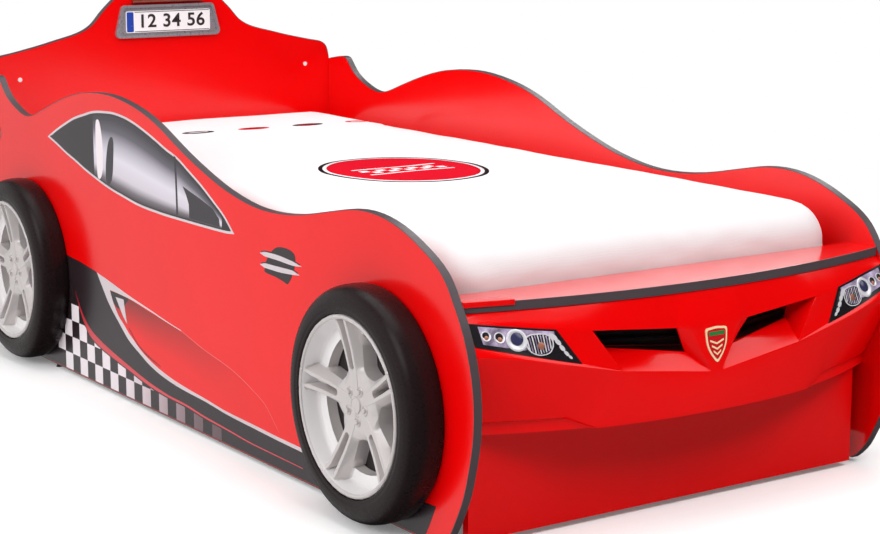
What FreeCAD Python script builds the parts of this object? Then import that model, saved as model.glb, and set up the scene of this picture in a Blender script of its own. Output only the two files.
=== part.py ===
import FreeCAD, Part
import math, os
from FreeCAD import Vector as V

# Child's bed in the shape of a racing car, with a pull-out bed on castors.
# Units mm, +Z up, the car's nose points to -Y. Floor at z = 0.
# Working y = 0 is the foremost point of the side panels; everything is
# shifted by -Y_MID at export so that the origin is under the box's centre.

# ---- driving dimensions ----
WIDTH = 986.0            # over the side panels
T = 16.0                 # board thickness
HALF = WIDTH / 2
IN = HALF - T            # inner face of a side panel
BAND = 1.5               # edge band thickness
GLIDE = 8.0              # panels stand this high on their glides
MAT_W, MAT_Y0, MAT_Y1 = 896.0, 128.0, 2071.0
MAT_Z0, MAT_Z1 = 342.0, 516.0
HEAD_Y = 2073.3          # front face of the headboard
SHELF_TOP = 431.7
SHELF_REAR = 126.0
WHEEL_Z = 219.8
WHEEL_Y = (291.8, 1815.2)
RIM_R = 162.0
WHEEL_D = 69.0           # how far the rim edge stands out of the panel
BUMP_T = 3.5             # bumper wall, measured along y
TR_HALF = 449.0          # pull-out bed half width
TR_Y0, TR_Y1 = 80.0, 2040.0
TR_TOP = 197.0
CASTOR_R = 25.0
CASTOR_Y = (230.0, 1880.0)
CASTOR_X = 395.0
Y_REAR = 2152.0
Y_NOSE = -36.2
Y_MID = (Y_REAR + Y_NOSE) / 2

os.makedirs("parts", exist_ok=True)


def out(name, *shapes):
    s = shapes[0] if len(shapes) == 1 else Part.makeCompound(list(shapes))
    s = s.copy()
    s.translate(V(0, -Y_MID, 0))
    s.exportStep("parts/%s.step" % name)
    b = s.BoundBox
    print("%-24s solids %2d vol %10.0f valid %s  x %.0f..%.0f y %.0f..%.0f z %.0f..%.0f" % (
        name, len(s.Solids), s.Volume, s.isValid(), b.XMin, b.XMax, b.YMin, b.YMax, b.ZMin, b.ZMax))


def box(x0, x1, y0, y1, z0, z1):
    return Part.makeBox(x1 - x0, y1 - y0, z1 - z0, V(x0, y0, z0))


def cyl_x(x0, x1, y, z, r):
    return Part.makeCylinder(r, x1 - x0, V(x0, y, z), V(1, 0, 0))


def cyl_y(y0, y1, x, z, r):
    return Part.makeCylinder(r, y1 - y0, V(x, y0, z), V(0, 1, 0))


def cyl_z(z0, z1, x, y, r):
    return Part.makeCylinder(r, z1 - z0, V(x, y, z0), V(0, 0, 1))


def mirror_x(s):
    return s.mirror(V(0, 0, 0), V(1, 0, 0))


def spline(pts):
    c = Part.BSplineCurve()
    c.interpolate(pts)
    return c


def prism(pts, d):
    w = Part.makePolygon(pts + [pts[0]])
    return Part.Face(w).extrude(d)


# ---- side panels: car profile in the y-z plane ----
PROFILE = [
    (100, 8), (83, 22), (68.5, 38), (51, 67), (31, 107), (14.6, 158.5), (3, 211), (0, 258), (4.2, 303), (17, 352),
    (36, 396), (64.5, 441.5), (85, 468.5), (114, 491.5), (148, 509), (189.5, 526.5), (236, 541), (283, 549.6),
    (325, 552), (372, 549.3), (430, 539.5), (491, 527), (557, 514.8), (625, 507), (688, 504.8), (746.5, 508),
    (806, 516.5), (867, 529.2), (929, 546.5), (992, 566.5), (1057, 590.2), (1124, 616.8), (1192, 638), (1262, 652.5),
    (1330, 661.3), (1385, 664.2), (1436, 663), (1515, 655.6), (1597, 638.6), (1680, 614.6), (1740, 595), (1786, 581),
    (1830, 576.6), (1873, 585), (1916, 600.5), (1944, 615.5), (1962, 630.5), (1974, 643), (1985, 652.6), (2001, 656),
    (2030, 653.4), (2062, 648.3), (2094, 640.5), (2121, 626), (2140, 602), (2149.5, 568), (2152, 520), (2152, 420),
    (2152, 300), (2149, 200), (2139, 110), (2120, 45), (2106, 8)]


def side_faces():
    outer = spline([V(0, y, z) for y, z in PROFILE])
    inner_pts = []
    n = len(PROFILE)
    for i, (y, z) in enumerate(PROFILE):
        t = outer.tangent(outer.parameter(V(0, y, z)))[0]
        nrm = V(0, t.z, -t.y)          # to the right of travel: inwards
        p = V(0, y, z) + nrm * BAND
        if i in (0, n - 1):
            k = (GLIDE + BAND - p.z) / t.z
            p = p + t * k
        inner_pts.append(p)
    inner = spline(inner_pts)
    res = []
    for c in (outer, inner):
        e = c.toShape()
        a, b = e.Vertexes[0].Point, e.Vertexes[-1].Point
        res.append(Part.Face(Part.Wire([e, Part.makeLine(b, a)])))
    return res


f_out, f_in = side_faces()
panel_r = f_in.extrude(V(T, 0, 0))
panel_r.translate(V(IN, 0, 0))
whole_r = f_out.extrude(V(T, 0, 0))
whole_r.translate(V(IN, 0, 0))
band_r = whole_r.cut(panel_r)
panel_l, band_l, whole_l = mirror_x(panel_r), mirror_x(band_r), mirror_x(whole_r)
out("side_panel_left", panel_l)
out("side_panel_right", panel_r)
out("edge_band_left", band_l)
out("edge_band_right", band_r)

glides = []
for sx in (-1, 1):
    for y in (165, 400, 1700, 2050):
        glides.append(cyl_z(0, 2, sx * (IN + T / 2), y, 7.5).fuse(cyl_z(2, GLIDE, sx * (IN + T / 2), y, 6)))
out("foot_glides", *glides)

# ---- headboard ----
HEAD = [(0, 857), (45, 856), (80, 852.5), (105, 846), (128, 835), (147, 821), (164, 806), (184, 786), (206, 762),
        (226, 749), (250, 739.5), (295, 728), (340, 716.5), (385, 706.5), (430, 697.5), (452, 692.5), (466, 683),
        (473, 668), (476, 650)]


def head_face(off):
    pts = HEAD
    full = [(-x, z) for x, z in reversed(pts[1:])] + pts
    c = spline([V(x, 0, z) for x, z in full])
    p2 = []
    for x, z in full:
        t = c.tangent(c.parameter(V(x, 0, z)))[0]
        p2.append(V(x, 0, z) + V(t.z, 0, -t.x) * off)
    lim = IN - 0.3 - off * 0
    p2[0] = V(-lim, 0, 650)
    p2[-1] = V(lim, 0, 650)
    e = spline(p2).toShape()
    a, b = e.Vertexes[0].Point, e.Vertexes[-1].Point
    w = Part.Wire([e, Part.makeLine(b, V(b.x, 0, 20)), Part.makeLine(V(b.x, 0, 20), V(a.x, 0, 20)),
                   Part.makeLine(V(a.x, 0, 20), a)])
    return Part.Face(w)


hb = head_face(BAND).extrude(V(0, T, 0))
hb.translate(V(0, HEAD_Y, 0))
hw = head_face(0).extrude(V(0, T, 0))
hw.translate(V(0, HEAD_Y, 0))
hband = hw.cut(hb)
out("headboard", hb)
out("headboard_edge_band", *[s for s in hband.Solids if s.Volume > 50])

# number plate frame: rounded trapezoid tray with a raised rim
def trap(zb, zt, hbm, htp, r, y0, y1):
    pts = [V(-hbm, 0, zb), V(hbm, 0, zb), V(htp, 0, zt), V(-htp, 0, zt)]
    s = prism(pts, V(0, y1 - y0, 0))
    s.translate(V(0, y0, 0))
    es = [e for e in s.Edges if abs(e.Vertexes[0].Y - e.Vertexes[1].Y) > 1]
    return s.makeFillet(r, es)


fr = trap(724, 806, 149, 128, 12, HEAD_Y - 9, HEAD_Y)
fr = fr.cut(trap(731, 799, 139, 122, 8, HEAD_Y - 10, HEAD_Y - 5))
out("plate_frame", fr)
out("number_plate", box(-118, 118, HEAD_Y - 7, HEAD_Y - 5, 737, 791))
lamp = box(-99, 99, HEAD_Y - 14, HEAD_Y, 812, 838)
lamp = lamp.makeFillet(5, [e for e in lamp.Edges if e.BoundBox.YMax < HEAD_Y - 13.9 and e.BoundBox.XLength > 50])
out("headboard_lamp_bar", lamp)
out("headboard_screw_caps", *[cyl_y(HEAD_Y - 1.5, HEAD_Y, sx * 402.7, z, 5.5) for sx in (-1, 1) for z in (634.6,)])

# ---- front shelf board over the nose ----
def bow(x, off=0.0):
    return -9 + 67 * (x / 477.0) ** 2 + off


def plan(off, x1=IN - 0.2, rear=SHELF_REAR, z0=SHELF_TOP - T, h=T):
    xs = [x1 * i / 8.0 for i in range(-8, 9)]
    e = spline([V(x, bow(x, off), z0) for x in xs]).toShape()
    a, b = e.Vertexes[0].Point, e.Vertexes[-1].Point
    c, d = V(b.x, rear, z0), V(a.x, rear, z0)
    return Part.Face(Part.Wire([e, Part.makeLine(b, c), Part.makeLine(c, d), Part.makeLine(d, a)])).extrude(V(0, 0, h))


shelf = plan(2.0)
strip = plan(0.0).cut(plan(2.0, x1=IN + 5, rear=SHELF_REAR + 5))
out("front_shelf", shelf)
out("shelf_edge_strip", *[s for s in strip.Solids if s.Volume > 100])
cx = [-HALF - 0.5 + (HALF + 0.5 - 388) * i / 8.0 for i in range(9)]


def cap_plan(o0, o1, z0, z1, x_from):
    xs = [x for x in cx if x >= x_from - 1e-6]
    pts = [V(x, bow(x, o0), z0) for x in xs] + [V(x, bow(x, o1), z0) for x in reversed(xs)]
    return prism(pts, V(0, 0, z1 - z0))


cap = cap_plan(-2.6, -0.1, 425.2, 434.9, -HALF - 0.5).fuse(cap_plan(-2.6, 20, SHELF_TOP + 0.1, 434.9, -HALF - 0.5))
cap = cap.cut(box(-HALF - 1, -IN + 0.2, 52.5, 90, 420, 440))
out("corner_cap", *[s for s in cap.Solids if s.Volume > 500])

# ---- foot panel behind the nose ----
foot = box(-IN + 0.2, IN - 0.2, 110, 126, 222, SHELF_TOP - T)
out("foot_panel", foot)

# ---- nose: one moulded shell, a height y over the x-z plane ----

def row(t):
    return -6.0 + 67.0 * t * t


XS = (325.0, 362.0, 400.0, 440.0, 476.6)
HY = (4.0, 14.5, 25.6, 36.0, 44.0)
HZ = (381.0, 385.5, 390.7, 396.4, 402.0)
LY = (14.4, 27.0, 42.0, 59.0, 75.8)
P = {
    "T0": (0, -6.0, 415.2), "T1": (57.5, row(57.5 / 477), 415.2), "T2": (81, row(81 / 477.0), 415.2),
    "T3": (258, row(258 / 477.0), 415.2),
    "H0": (0, -27, 359), "H1": (57.5, -26, 359), "H2": (81, -20, 357.5), "H3": (258, -9, 373),
    "GT": (217, 12, 357), "G1": (208, 10, 330), "G2": (52.6, -10, 310),
    "K0": (0, -35, 274), "K1": (12, -35, 275), "K2": (203, -23.2, 298.6), "K3": (284, -19.4, 315.8),
    "B0": (284, -15.2, 320.8),
    "C0": (0, -31, 202), "C1": (243, -9, 202), "L0": (297, 6, 226), "D1": (248, -2, 202), "M0": (299, 14, 222.5)}
for i, x in enumerate(XS):
    t = x / 477.0
    P["t%d" % i] = (x, row(t), 415.2)
    P["h%d" % i] = (x, HY[i], HZ[i])
    P["b%d" % i] = (x, -22.2 + 6.2 * t ** 2 + 38.5 * t ** 4, 285.8 + 108.9 * t ** 2 - 28.5 * t ** 4)
    P["k%d" % i] = (x, -24.6 + 0.6 * t ** 2 + 39.3 * t ** 4, 277.0 + 129.6 * t ** 2 - 56.9 * t ** 4)
    P["l%d" % i] = (x, LY[i], 226.0)
    P["m%d" % i] = (x, LY[i] + 8, 222.5)
    P["e%d" % i] = (x, LY[i] + 8.4, 202.0)
TRI = """T0 T1 H1,T0 H1 H0,T1 T2 H2,T1 H2 H1,T2 T3 H3,T2 H3 H2,T3 t0 h0,T3 h0 H3,
H0 H1 K1,H0 K1 K0,H1 H2 G2,H1 G2 K1,G2 G1 K2,G2 K2 K1,H3 K2 G1,H3 G1 GT,H3 h0 B0,H3 B0 K2,K2 B0 K3,
h0 b0 B0,B0 b0 k0,B0 k0 K3,K0 K1 C0,K1 K2 C1,K1 C1 C0,K2 L0 C1,K2 K3 L0,K3 k0 l0,K3 l0 L0,C1 L0 M0,C1 M0 D1,
L0 l0 m0,L0 m0 M0,D1 M0 m0,D1 m0 e0"""
QUADS = [("t", "h"), ("h", "b"), ("b", "k"), ("k", "l"), ("l", "m"), ("m", "e")]
LAMP = [("h0", "b0", "B0")]
tris = [tuple(t.split()) for t in TRI.replace("\n", "").split(",")]
for i in range(4):
    for a, b in QUADS:
        q = [("%s%d" % (a, i), "%s%d" % (a, i + 1), "%s%d" % (b, i + 1)), ("%s%d" % (a, i), "%s%d" % (b, i + 1), "%s%d" % (b, i))]
        tris += q
        if a == "h":
            LAMP += q


def sheet_solid(P, tris, t_back, t_front=0.0):
    """Closed solid between y - t_front and y + t_back of a triangulated height field."""
    front = {k: V(p[0], p[1] - t_front, p[2]) for k, p in P.items()}
    back = {k: V(p[0], p[1] + t_back, p[2]) for k, p in P.items()}
    count = {}
    for a, b, c in tris:
        for e in ((a, b), (b, c), (c, a)):
            count[frozenset(e)] = count.get(frozenset(e), 0) + 1
    faces = []
    for a, b, c in tris:
        faces.append(Part.Face(Part.makePolygon([front[a], front[b], front[c], front[a]])))
        faces.append(Part.Face(Part.makePolygon([back[a], back[c], back[b], back[a]])))
    for e, n in count.items():
        if n == 1:
            a, b = tuple(e)
            faces.append(Part.Face(Part.makePolygon([front[a], front[b], back[b], back[a], front[a]])))
    sh = Part.makeShell(faces)
    sh.sewShape()
    so = Part.makeSolid(sh)
    if so.Volume < 0:
        so.reverse()
    return so


Q = dict(P)
for k, p in P.items():
    Q["r_" + k] = (-p[0], p[1], p[2])
alias = {k: (k if abs(P[k][0]) < 1e-9 else "r_" + k) for k in P}
both = tris + [tuple(alias[k] for k in reversed(t)) for t in tris]
Q = {k: v for k, v in Q.items() if not (k.startswith("r_") and abs(v[0]) < 1e-9)}
bumper = sheet_solid(Q, both, BUMP_T)
out("nose_shell", bumper)


# the lamp covers lie on the shell, on the faces between the hood edge and the crease
lp = {}
for t in LAMP:
    for k in t:
        lp[k] = (P[k][0], P[k][1] - 0.2, P[k][2])
lamp_r = sheet_solid(lp, LAMP, 0.0, 3.0)
out("headlight_right", lamp_r)
out("headlight_left", mirror_x(lamp_r))

gp = {"a": (78, 14, 366), "b": (238, 36, 372), "c": (216, 36, 318), "d": (50, 14, 300)}
gr = sheet_solid(gp, [("a", "b", "c"), ("a", "c", "d")], 3.0)
out("grille_backing", gr, mirror_x(gr))


def nose_y(z):
    return -27 + (359 - z) * (-8.0 / 85.0)


bz = [(0, 289), (16, 311), (24, 334), (24, 347), (12, 352), (0, 353)]
bfull = bz + [(-x, z) for x, z in reversed(bz[1:-1])]
w1 = Part.makePolygon([V(x, nose_y(z) - 2.6, z) for x, z in bfull] + [V(0, nose_y(289) - 2.6, 289)])
w2 = Part.makePolygon([V(x, nose_y(z) - 0.2, z) for x, z in bfull] + [V(0, nose_y(289) - 0.2, 289)])
out("badge_plate", Part.makeLoft([w1, w2], True, True))

# brackets that carry the nose shell on the foot panel, and their screws
brk, scr = [], []
for sx in (-1, 1):
    for bx, yb in ((150, 10.5), (430, 54.0)):
        x = sx * bx
        brk.append(box(x - 12, x + 12, yb + 6, 110, SHELF_TOP - T - 3, SHELF_TOP - T).fuse(
            box(x - 12, x + 12, 107, 110, SHELF_TOP - T - 30, SHELF_TOP - T - 3)))
        scr.append(cyl_y(103.5, 107, x, SHELF_TOP - T - 18, 4.5))
out("nose_brackets", *brk)
out("nose_screws", *scr)

# ---- wheels: moulded tyre ring and rim, fixed to the panels ----
TYRE = [(0.2, 163), (0.2, 206), (6, 209.5), (18, 211.3), (32, 211.4), (44, 209.2), (53, 204.5), (60.5, 197.5), (66, 189), (69, 180),
        (69.6, 171), (68.6, 165.5), (66, 163), (30, 163)]
RIMP = [(6, 150), (6, 162.4), (66.5, 162.4), (69.2, 160.5), (69.6, 157), (66, 154), (58, 150.5), (40, 149)]


def revolve(prof, xc, yc, sign):
    pts = [V(xc + sign * q, yc, WHEEL_Z + r) for q, r in prof]
    f = Part.Face(Part.makePolygon(pts + [pts[0]]))
    return f.revolve(V(xc, yc, WHEEL_Z), V(1, 0, 0), 360)


def tyre(xc, yc, sign):
    # smooth outer contour
    pts = [V(xc + sign * q, yc, WHEEL_Z + r) for q, r in TYRE]
    c = spline(pts[1:13])
    w = Part.Wire([Part.makeLine(pts[0], pts[1]), c.toShape(), Part.makeLine(pts[12], pts[13]),
                   Part.makeLine(pts[13], pts[0])])
    return Part.Face(w).revolve(V(xc, yc, WHEEL_Z), V(1, 0, 0), 360)


def rim(xc, yc, sign):
    ring = revolve(RIMP, xc, yc, sign)
    # dished face: hub low, spokes rising to the ring
    face = revolve([(30, 0), (46, 0), (46, 46), (50, 90), (60, 151), (52, 151), (38, 90), (32, 46)], xc, yc, sign)
    cuts = []
    for k in range(5):
        a0 = math.radians(100 + 72 * k)

        def at(r, a):
            # angles are seen from outside on the left side, nose to the right
            return V(xc + sign * 20, yc - r * math.cos(a), WHEEL_Z + r * math.sin(a))
        sl = [at(72, a0 - 0.060), at(72, a0 + 0.060), at(138, a0 + 0.055), at(138, a0 - 0.055)]
        cuts.append(prism(sl, V(sign * 60, 0, 0)))
        ac = a0 + math.radians(36)
        tr = [at(63, ac - 0.12), at(63, ac + 0.12), at(72, ac + 0.27), at(100, ac + 0.36), at(145, ac + 0.42), at(148, ac),
              at(145, ac - 0.42), at(100, ac - 0.36), at(72, ac - 0.27)]
        cuts.append(prism(tr, V(sign * 60, 0, 0)))
    for c in cuts:
        face = face.cut(c)
    back = revolve([(1, 0), (6, 0), (6, 162), (1, 162)], xc, yc, sign)
    boss = revolve([(6, 0), (30.5, 0), (30.5, 30), (6, 34)], xc, yc, sign)
    s = ring.fuse(face).fuse(back).fuse(boss)
    return s.removeSplitter()


names = {(-1, 0): "front_left", (1, 0): "front_right", (-1, 1): "rear_left", (1, 1): "rear_right"}
caps, nuts, wscr = [], [], []
for sx in (-1, 1):
    for i, wy in enumerate(WHEEL_Y):
        xc = sx * HALF
        out("tyre_" + names[(sx, i)], tyre(xc, wy, sx))
        r = rim(xc, wy, sx)
        out("rim_" + names[(sx, i)], r)
        cp = Part.makeCone(17, 13, 5, V(xc + sx * 46, wy, WHEEL_Z), V(sx, 0, 0))
        caps.append(cp)
        for k in range(5):
            a = math.radians(100 + 36 + 72 * k)
            nuts.append(Part.makeCylinder(5.5, 5, V(xc + sx * 46, wy - 30 * math.cos(a), WHEEL_Z + 30 * math.sin(a)),
                                          V(sx, 0, 0)))
        for k in range(3):
            a = math.radians(-90 + 120 * k)
            wscr.append(Part.makeCylinder(5, 3, V(sx * IN, wy - 80 * math.cos(a), WHEEL_Z + 80 * math.sin(a)),
                                          V(-sx, 0, 0)))
out("wheel_centre_caps", *caps)
out("wheel_nuts", *nuts)
out("wheel_screws", *wscr)

# ---- bed base and mattress ----
rail = box(453, IN, 127, 2072, 296, 330)
out("side_rail_right", rail)
out("side_rail_left", mirror_x(rail))
out("cross_beams", *[box(-452.7, 452.7, y, y + 40, 292, 330) for y in (560, 1080, 1600)])
out("bed_slats", *[box(-472, 472, 150 + i * 146.5, 150 + i * 146.5 + 70, 330, MAT_Z0) for i in range(13)])
mat = box(-MAT_W / 2, MAT_W / 2, MAT_Y0, MAT_Y1, MAT_Z0 + 0.3, MAT_Z1)
mat = mat.makeFillet(24, mat.Edges)
out("mattress", mat)
cb, cs = [], []
for sx in (-1, 1):
    for y, s in ((126, 1), (HEAD_Y, -1)):
        for z in (240, 395) if s > 0 else (120, 260, 400):
            a = box(IN - 3, IN, min(y, y + s * 32), max(y, y + s * 32), z - 14, z + 14)
            b = box(IN - 32, IN - 3, min(y, y + s * 3), max(y, y + s * 3), z - 14, z + 14)
            br = a.fuse(b)
            sc = cyl_x(IN - 5.5, IN - 3, y + s * 20, z, 4.5)
            sd = cyl_y(min(y + s * 3, y + s * 5.5), max(y + s * 3, y + s * 5.5), IN - 20, z, 4.5)
            if sx < 0:
                br, sc, sd = mirror_x(br), mirror_x(sc), mirror_x(sd)
            cb.append(br)
            cs += [sc, sd]
out("corner_brackets", *cb)
out("bracket_screws", *cs)

# ---- pull-out bed ----
front = box(-TR_HALF, TR_HALF, TR_Y0, TR_Y0 + T, 12, TR_TOP)
out("trundle_front", front)
bandt = 1.5
out("trundle_front_band", box(-TR_HALF, TR_HALF, TR_Y0, TR_Y0 + T, TR_TOP, TR_TOP + bandt))
side = box(TR_HALF - T, TR_HALF - 0.2, TR_Y0 + T, TR_Y1 - T, 52, 150)
out("trundle_side_right", side)
out("trundle_side_left", mirror_x(side))
out("trundle_back", box(-TR_HALF + 0.2, TR_HALF - 0.2, TR_Y1 - T, TR_Y1, 52, 150))
out("trundle_base", box(-TR_HALF + T, TR_HALF - T, TR_Y0 + T, TR_Y1 - T, 62, 74))
tm = box(-426, 426, TR_Y0 + T + 4, TR_Y1 - T - 4, 74.3, 189)
tm = tm.makeFillet(18, tm.Edges)
out("trundle_mattress", tm)
brs, pins, tscr = [], [], []
for y in CASTOR_Y:
    for sx in (-1, 1):
        x = sx * CASTOR_X
        top = box(x - 22, x + 22, y - 30, y + 30, 57, 62)
        l1 = box(x - 17, x - 14, y - 12, y + 12, 15, 57)
        l2 = box(x + 14, x + 17, y - 12, y + 12, 15, 57)
        b = top.fuse(l1).fuse(l2)
        b = b.cut(cyl_x(x - 20, x + 20, y, CASTOR_R, 3.0))
        brs.append(b)
        pins.append(cyl_x(x - 19, x + 19, y, CASTOR_R, 3.0).fuse(cyl_x(x - 21, x - 17, y, CASTOR_R, 5)).fuse(
            cyl_x(x + 17, x + 21, y, CASTOR_R, 5)))
for j, y in enumerate(CASTOR_Y):
    ws = []
    for sx in (-1, 1):
        x = sx * CASTOR_X
        w = cyl_x(x - 12, x + 12, y, CASTOR_R, CASTOR_R)
        w = w.makeFillet(3, [e for e in w.Edges if abs(e.Length - 2 * math.pi * CASTOR_R) < 1])
        w = w.cut(cyl_x(x - 13, x + 13, y, CASTOR_R, 3.05))
        w = w.cut(cyl_x(x + 10, x + 13, y, CASTOR_R, 17).cut(cyl_x(x + 10, x + 13, y, CASTOR_R, 6)))
        w = w.cut(cyl_x(x - 13, x - 10, y, CASTOR_R, 17).cut(cyl_x(x - 13, x - 10, y, CASTOR_R, 6)))
        ws.append(w)
    out("castor_wheels_" + ("front", "rear")[j], *ws)
out("castor_brackets", *brs)
out("castor_pins", *pins)
for sx in (-1, 1):
    for z in (75, 130):
        tscr.append(cyl_y(TR_Y1, TR_Y1 + 2.5, sx * 441, z, 4.5))
out("trundle_screws", *tscr)
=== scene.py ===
import bpy, bmesh, math
import numpy as np
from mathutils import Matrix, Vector
from mathutils.geometry import tessellate_polygon


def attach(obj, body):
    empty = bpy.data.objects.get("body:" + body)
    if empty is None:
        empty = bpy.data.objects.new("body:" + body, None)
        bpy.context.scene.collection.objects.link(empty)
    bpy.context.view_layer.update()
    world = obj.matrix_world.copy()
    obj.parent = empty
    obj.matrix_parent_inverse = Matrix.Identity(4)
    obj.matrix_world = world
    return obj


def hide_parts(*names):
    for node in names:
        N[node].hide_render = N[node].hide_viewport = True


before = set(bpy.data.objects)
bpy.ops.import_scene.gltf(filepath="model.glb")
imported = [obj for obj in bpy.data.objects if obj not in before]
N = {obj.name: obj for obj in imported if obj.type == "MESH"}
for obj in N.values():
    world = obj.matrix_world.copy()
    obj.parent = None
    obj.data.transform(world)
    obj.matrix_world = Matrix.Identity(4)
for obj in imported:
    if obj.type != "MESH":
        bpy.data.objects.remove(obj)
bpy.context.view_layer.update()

# Working frame of this script: millimetres, y = 0 at the foremost point of the side panels,
# z = 0 on the floor. W() turns it into the row frame.
YM = 1057.9
HALF = 493.0
IN = 477.0
WZ = 219.8
WY = (291.8, 1815.2)


def W(p):
    return (p[0] / 1000.0, (p[1] - YM) / 1000.0, p[2] / 1000.0)


# ------------------------------------------------------------------ materials
def srgb(*c):
    return tuple(((v / 255.0) / 12.92 if v / 255.0 <= 0.04045 else ((v / 255.0 + 0.055) / 1.055) ** 2.4) for v in c) + (1.0,)


def node(nt, kind, **kw):
    n = nt.nodes.new(kind)
    for k, v in kw.items():
        setattr(n, k, v)
    return n


def ramp(nt, stops, interp="LINEAR"):
    r = nt.nodes.new("ShaderNodeValToRGB")
    e = r.color_ramp.elements
    r.color_ramp.interpolation = interp
    while len(e) < len(stops):
        e.new(0.5)
    for el, (p, c) in zip(e, stops):
        el.position = p
        el.color = c if len(c) == 4 else tuple(c) + (1.0,)
    return r


def maprange(nt, src, a, b, c, d):
    m = nt.nodes.new("ShaderNodeMapRange")
    m.inputs["From Min"].default_value = a
    m.inputs["From Max"].default_value = b
    m.inputs["To Min"].default_value = c
    m.inputs["To Max"].default_value = d
    nt.links.new(src, m.inputs["Value"])
    return m.outputs["Result"]


def material(name, col, rough=0.4, rough_var=0.05, var=0.04, metallic=0.0, coat=0.0, coat_rough=0.05, spec=0.5,
             grain=120.0, bump=0.03, bump_scale=400.0, bump_dist=0.0003, sheen=0.0, ior=1.5, emission=0.0):
    """Base finish: a colour that drifts a little, a roughness that varies and a fine relief, all from object coordinates."""
    m = bpy.data.materials.new(name)
    m.use_nodes = True
    nt = m.node_tree
    b = nt.nodes["Principled BSDF"]
    tc = node(nt, "ShaderNodeTexCoord")
    n1 = node(nt, "ShaderNodeTexNoise")
    n1.inputs["Scale"].default_value = grain * 0.05
    n1.inputs["Detail"].default_value = 3.0
    n2 = node(nt, "ShaderNodeTexNoise")
    n2.inputs["Scale"].default_value = bump_scale
    n2.inputs["Detail"].default_value = 2.0
    n3 = node(nt, "ShaderNodeTexNoise")
    n3.inputs["Scale"].default_value = grain
    n3.inputs["Detail"].default_value = 4.0
    for n in (n1, n2, n3):
        nt.links.new(tc.outputs["Object"], n.inputs["Vector"])
    c = np.array(col[:3])
    lo = tuple(np.clip(c * (1 - var), 0, 1))
    hi = tuple(np.clip(c * (1 + var), 0, 1))
    r = ramp(nt, [(0.3, lo), (0.7, hi)])
    nt.links.new(n1.outputs["Fac"], r.inputs["Fac"])
    nt.links.new(r.outputs["Color"], b.inputs["Base Color"])
    nt.links.new(maprange(nt, n3.outputs["Fac"], 0.3, 0.7, max(0.0, rough - rough_var), rough + rough_var), b.inputs["Roughness"])
    bp = node(nt, "ShaderNodeBump")
    bp.inputs["Strength"].default_value = bump
    bp.inputs["Distance"].default_value = bump_dist
    nt.links.new(n2.outputs["Fac"], bp.inputs["Height"])
    nt.links.new(bp.outputs["Normal"], b.inputs["Normal"])
    b.inputs["Metallic"].default_value = metallic
    b.inputs["Specular IOR Level"].default_value = spec
    b.inputs["IOR"].default_value = ior
    b.inputs["Coat Weight"].default_value = coat
    b.inputs["Coat Roughness"].default_value = coat_rough
    b.inputs["Sheen Weight"].default_value = sheen
    if emission:
        b.inputs["Emission Color"].default_value = tuple(col[:3]) + (1.0,)
        b.inputs["Emission Strength"].default_value = emission
    m["base"] = r.name
    return m


RED = (0.80, 0.0006, 0.0010)


def red_side():
    """Red laminate with the soft brown shadow that is printed under the crease of the door."""
    m = material("red_board_print", RED, rough=0.17, rough_var=0.03, var=0.02, coat=0.0, bump=0.02, bump_scale=260.0, spec=0.5)
    nt = m.node_tree
    b = nt.nodes["Principled BSDF"]
    r = nt.nodes[m["base"]]
    tc = node(nt, "ShaderNodeTexCoord")
    sp = node(nt, "ShaderNodeSeparateXYZ")
    nt.links.new(tc.outputs["Object"], sp.inputs[0])
    line = [(1390, 235), (1300, 232), (1200, 221), (1100, 211), (1050, 205), (950, 186), (850, 171), (800, 160), (750, 144.6),
            (700, 125.8), (675, 107), (648, 82)]
    fc = node(nt, "ShaderNodeFloatCurve")
    cv = fc.mapping.curves[0]
    pts = sorted(((y - 600) / 900.0, z / 300.0) for y, z in line)
    while len(cv.points) < len(pts):
        cv.points.new(0.5, 0.5)
    for p, (a, q) in zip(cv.points, pts):
        p.location = (a, q)
    fc.mapping.update()
    u = maprange(nt, sp.outputs["Y"], (600 - YM) / 1000, (1500 - YM) / 1000, 0, 1)
    nt.links.new(u, fc.inputs["Value"])
    zz = maprange(nt, sp.outputs["Z"], 0, 0.3, 0, 1)
    d = node(nt, "ShaderNodeMath", operation="SUBTRACT")
    nt.links.new(fc.outputs[0], d.inputs[0])
    nt.links.new(zz, d.inputs[1])
    below = maprange(nt, d.outputs[0], 0.0, 0.006, 0, 1)
    fade = maprange(nt, d.outputs[0], 0.0, 0.24, 1, 0)
    along = maprange(nt, sp.outputs["Y"], (760 - YM) / 1000, (1300 - YM) / 1000, 0, 1.0)
    end = maprange(nt, sp.outputs["Y"], (1380 - YM) / 1000, (1400 - YM) / 1000, 1, 0)
    prev = below
    for f in (fade, along, end):
        mu = node(nt, "ShaderNodeMath", operation="MULTIPLY")
        nt.links.new(prev, mu.inputs[0])
        nt.links.new(f, mu.inputs[1])
        prev = mu.outputs[0]
    mx = node(nt, "ShaderNodeMix", data_type="RGBA")
    nt.links.new(prev, mx.inputs[0])
    nt.links.new(r.outputs["Color"], mx.inputs[6])
    mx.inputs[7].default_value = srgb(112, 30, 26)
    nt.links.new(mx.outputs[2], b.inputs["Base Color"])
    return m


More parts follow.
